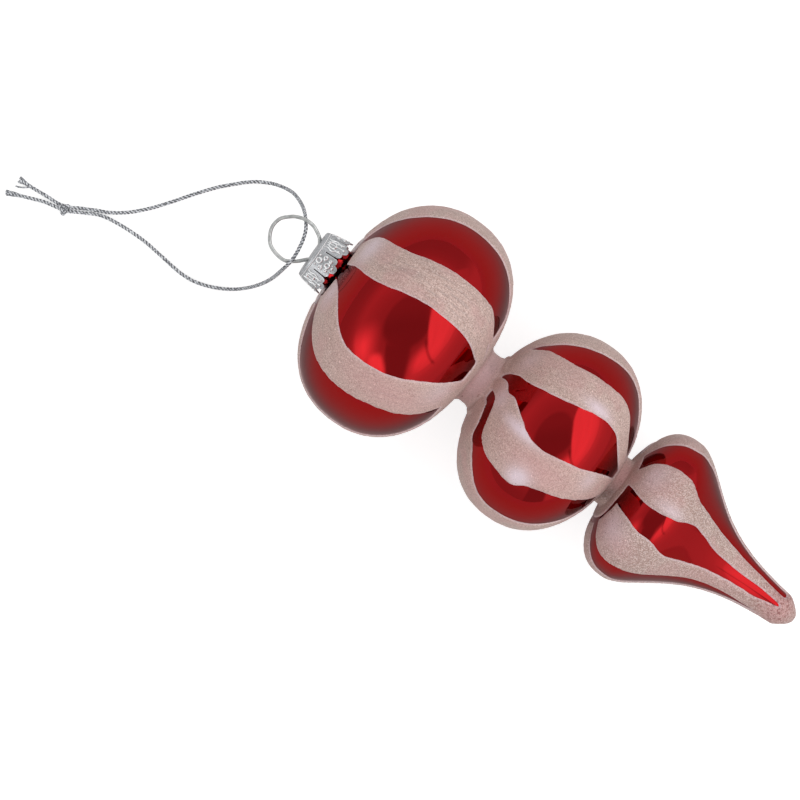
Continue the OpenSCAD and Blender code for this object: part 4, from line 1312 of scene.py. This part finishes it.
@dataclass
class Studio:
    """A white floor, a camera that looks straight down, and a light tent round them."""

    right: tuple[float, float] = (0.7944, 0.6074)
    camera_at: Point = (-35.67, -19.18, 900.0)
    lens: float = 133.64
    floor: float = 4.0
    floor_white: float = 0.55
    floor_seen: float = 0.70
    floor_mirrored: float = 0.20
    boxes: tuple[SoftBox, ...] = (
        SoftBox((0.79, -0.03), (0.60, 0.60), 2.05, 0.05),
        SoftBox((0.30, -0.44), (0.27, 0.27), 2.00, 0.60),
        SoftBox((-0.48, -0.22), (0.27, 0.36), 2.35, 1.00, 3.0),
        SoftBox((-0.28, -0.44), (0.11, 0.20), 2.25, 0.45, 3.0))
    seam: Point = (0.79, -0.03, 0.61)
    tent: tuple[tuple[float, float], ...] = (
        (0.0, 0.43), (0.215, 0.44), (0.262, 0.70), (0.35, 0.78), (0.55, 0.95), (0.63, 0.84), (0.72, 0.68),
        (0.85, 0.60), (1.0, 0.58))
    wall: tuple[tuple[float, float], ...] = (
        (0.0, 1.0), (0.47, 1.0), (0.59, 0.82), (0.645, 0.46), (1.0, 0.36))
    gap: float = 0.43
    side_lift: float = 0.58
    zenith_lift: float = 0.09
    fold: float = 0.20
    seam_dark: float = 0.45

    def camera(self) -> None:
        """Place the camera."""
        data = bpy.data.cameras.new("camera")
        data.lens, data.sensor_width = self.lens, 36.0
        data.clip_start, data.clip_end = 0.05, 20.0
        camera = linked("camera", data)
        camera.location = Vector(self.camera_at) * MM
        camera.rotation_euler = (0.0, 0.0, math.atan2(self.right[1], self.right[0]))
        bpy.context.scene.camera = camera

    def ground(self) -> None:
        """Lay the white floor, which is as white in a mirror as to the camera."""
        material, graph, shader = new_material("white_floor")
        rays = graph.add("ShaderNodeLightPath").outputs
        seen = graph.times(graph.plus(rays["Is Camera Ray"], rays["Is Transmission Ray"]), self.floor_seen)
        graph.set(shader, {
            "Base Color": grey(self.floor_white), "Roughness": 0.9, "Specular IOR Level": 0.0,
            "Emission Color": grey(1.0),
            "Emission Strength": graph.scaled(rays["Is Glossy Ray"], self.floor_mirrored, seen)})
        half = self.floor / 2
        corners = np.array([(-half, -half, 0), (half, -half, 0), (half, half, 0), (-half, half, 0)])
        mesh_piece("studio_floor", corners, [[0, 1, 2, 3]], material, smooth=False)

    @staticmethod
    def window(graph: Graph, u: Any, v: Any, box: SoftBox) -> NodeSocket:
        """Return a soft box's share at a place of the chart, from 0 to 1."""
        parts = []
        for value, middle, half in ((u, box.at[0], box.reach[0]), (v, box.at[1], box.reach[1])):
            off = graph.maths("ABSOLUTE", graph.maths("DIVIDE", graph.minus(value, middle), half))
            parts.append(graph.maths("POWER", off, box.power))
        away = graph.maths("POWER", graph.plus(*parts), 1.0 / box.power)
        return graph.step(away, 1.0, 1.0 - box.fade)

    @staticmethod
    def apart(graph: Graph, u: Any, v: Any, at: tuple[float, float]) -> NodeSocket:
        """Return how far a place of the chart is from another one."""
        du, dv = graph.minus(u, at[0]), graph.minus(v, at[1])
        return graph.maths("SQRT", graph.scaled(du, du, graph.times(dv, dv)))

    @staticmethod
    def levels(graph: Graph, out: Any, stops: Sequence[tuple[float, float]]) -> NodeSocket:
        """Return a brightness that changes with the distance from overhead."""
        return graph.ramp(out, [(at, grey(level)) for at, level in stops])

    def cloth(self, graph: Graph, u: Any, v: Any, out: Any) -> NodeSocket:
        """Return the brightness of the tent's cloth, with the gap that the camera looks through."""
        towards = graph.minus(graph.times(u, 0.87), graph.times(v, 0.5))
        lift = graph.times(graph.step(towards, 0.18, 0.50), graph.step(out, 0.50, 0.66))
        tent = graph.times(self.levels(graph, out, self.tent), graph.scaled(lift, self.side_lift, 1.0))
        above = graph.times(graph.step(v, -0.08, 0.16), graph.step(out, 0.30, 0.22))
        tent = graph.scaled(above, self.zenith_lift, tent)
        widening = graph.times(graph.maths("MAXIMUM", graph.minus(-0.5, v), 0.0), 0.35)
        sides = graph.times(graph.step(graph.plus(u, widening), -0.187, -0.163), graph.step(u, 0.09, 0.02))
        return graph.blend(graph.times(graph.step(v, -0.12, -0.24), sides), tent, grey(self.gap))

    def seam_share(self, graph: Graph, u: Any, v: Any) -> NodeSocket:
        """Return what is left of the light along the dark seam round the largest soft box."""
        off = graph.maths("ABSOLUTE", graph.minus(self.apart(graph, u, v, self.seam[:2]), self.seam[2]))
        ends = graph.times(graph.step(v, -0.16, -0.24), graph.step(u, 0.46, 0.38))
        return graph.scaled(graph.times(graph.step(off, 0.022, 0.006), ends), -self.seam_dark, 1.0)

    def sky(self, graph: Graph) -> NodeSocket:
        """Return the tent's brightness in each direction."""
        way = graph.add("ShaderNodeTexCoord").outputs["Generated"]
        rise = graph.maths("MAXIMUM", graph.add("ShaderNodeSeparateXYZ", {0: way}).outputs[2], 0.0)
        flat = graph.plus(rise, 1.0)
        u, v = (graph.maths("DIVIDE", graph.add("ShaderNodeVectorMath", {0: way, 1: axis},
                                                operation="DOT_PRODUCT").outputs["Value"], flat)
                for axis in ((*self.right, 0.0), (-self.right[1], self.right[0], 0.0)))
        out = self.apart(graph, u, v, (0.0, 0.0))
        total = self.cloth(graph, u, v, out)
        folds = graph.add("ShaderNodeCombineXYZ", {0: graph.times(u, 16.0), 1: graph.times(v, 2.5)})
        uneven = graph.scaled(graph.noise(folds.outputs[0], 1.0 / MM), self.fold, 1.0 - self.fold / 2)
        wall = graph.times(self.levels(graph, out, self.wall), uneven)
        for box in self.boxes:
            more = graph.maths("MAXIMUM", graph.minus(graph.times(wall, box.level), total), 0.0)
            total = graph.scaled(self.window(graph, u, v, box), more, total)
        return graph.times(total, self.seam_share(graph, u, v))

    def light(self) -> None:
        """Set the light tent in the world, which the camera itself sees as plain white."""
        world = bpy.data.worlds.new("studio")
        bpy.context.scene.world = world
        world.use_nodes = True
        graph = Graph(world.node_tree)
        seen = graph.add("ShaderNodeLightPath").outputs["Is Camera Ray"]
        graph.set(world.node_tree.nodes["Background"], {
            "Color": graph.blend(seen, self.sky(graph), grey(1.0))})
        bpy.context.scene.view_settings.view_transform = "Standard"

    def build(self) -> None:
        """Set up the whole studio."""
        self.camera()
        self.ground()
        self.light()


def main() -> None:
    """Build the ornament piece by piece in its studio, and log each piece's face count."""
    logging.basicConfig(level=logging.INFO, format="%(name)s: %(message)s")
    pose, seat = Pose(), CapSeat()
    Studio().build()
    HangingCord().build(MetallicThread().build())
    glass = GlassBody(pose)
    dress(glass.build(MirrorGlass().build()), Slot.GLASS, "glass_body")
    coat = GlitterCoat(glass)
    skin = coat.build(GlitterPaint().build())
    flakes = coat.flakes(skin, GlitterFlake().build())
    dress(skin, Slot.GLITTER, "glitter_coat")
    dress(flakes, Slot.GLITTER)
    dress(CrownCap(pose, seat).build(StampedMetal().build()), Slot.CAP, "crown_cap")
    dress(WireHanger(pose, seat).build(DrawnWire().build()), Slot.WIRE, "wire_hanger")


if __name__ == "__main__":
    main()
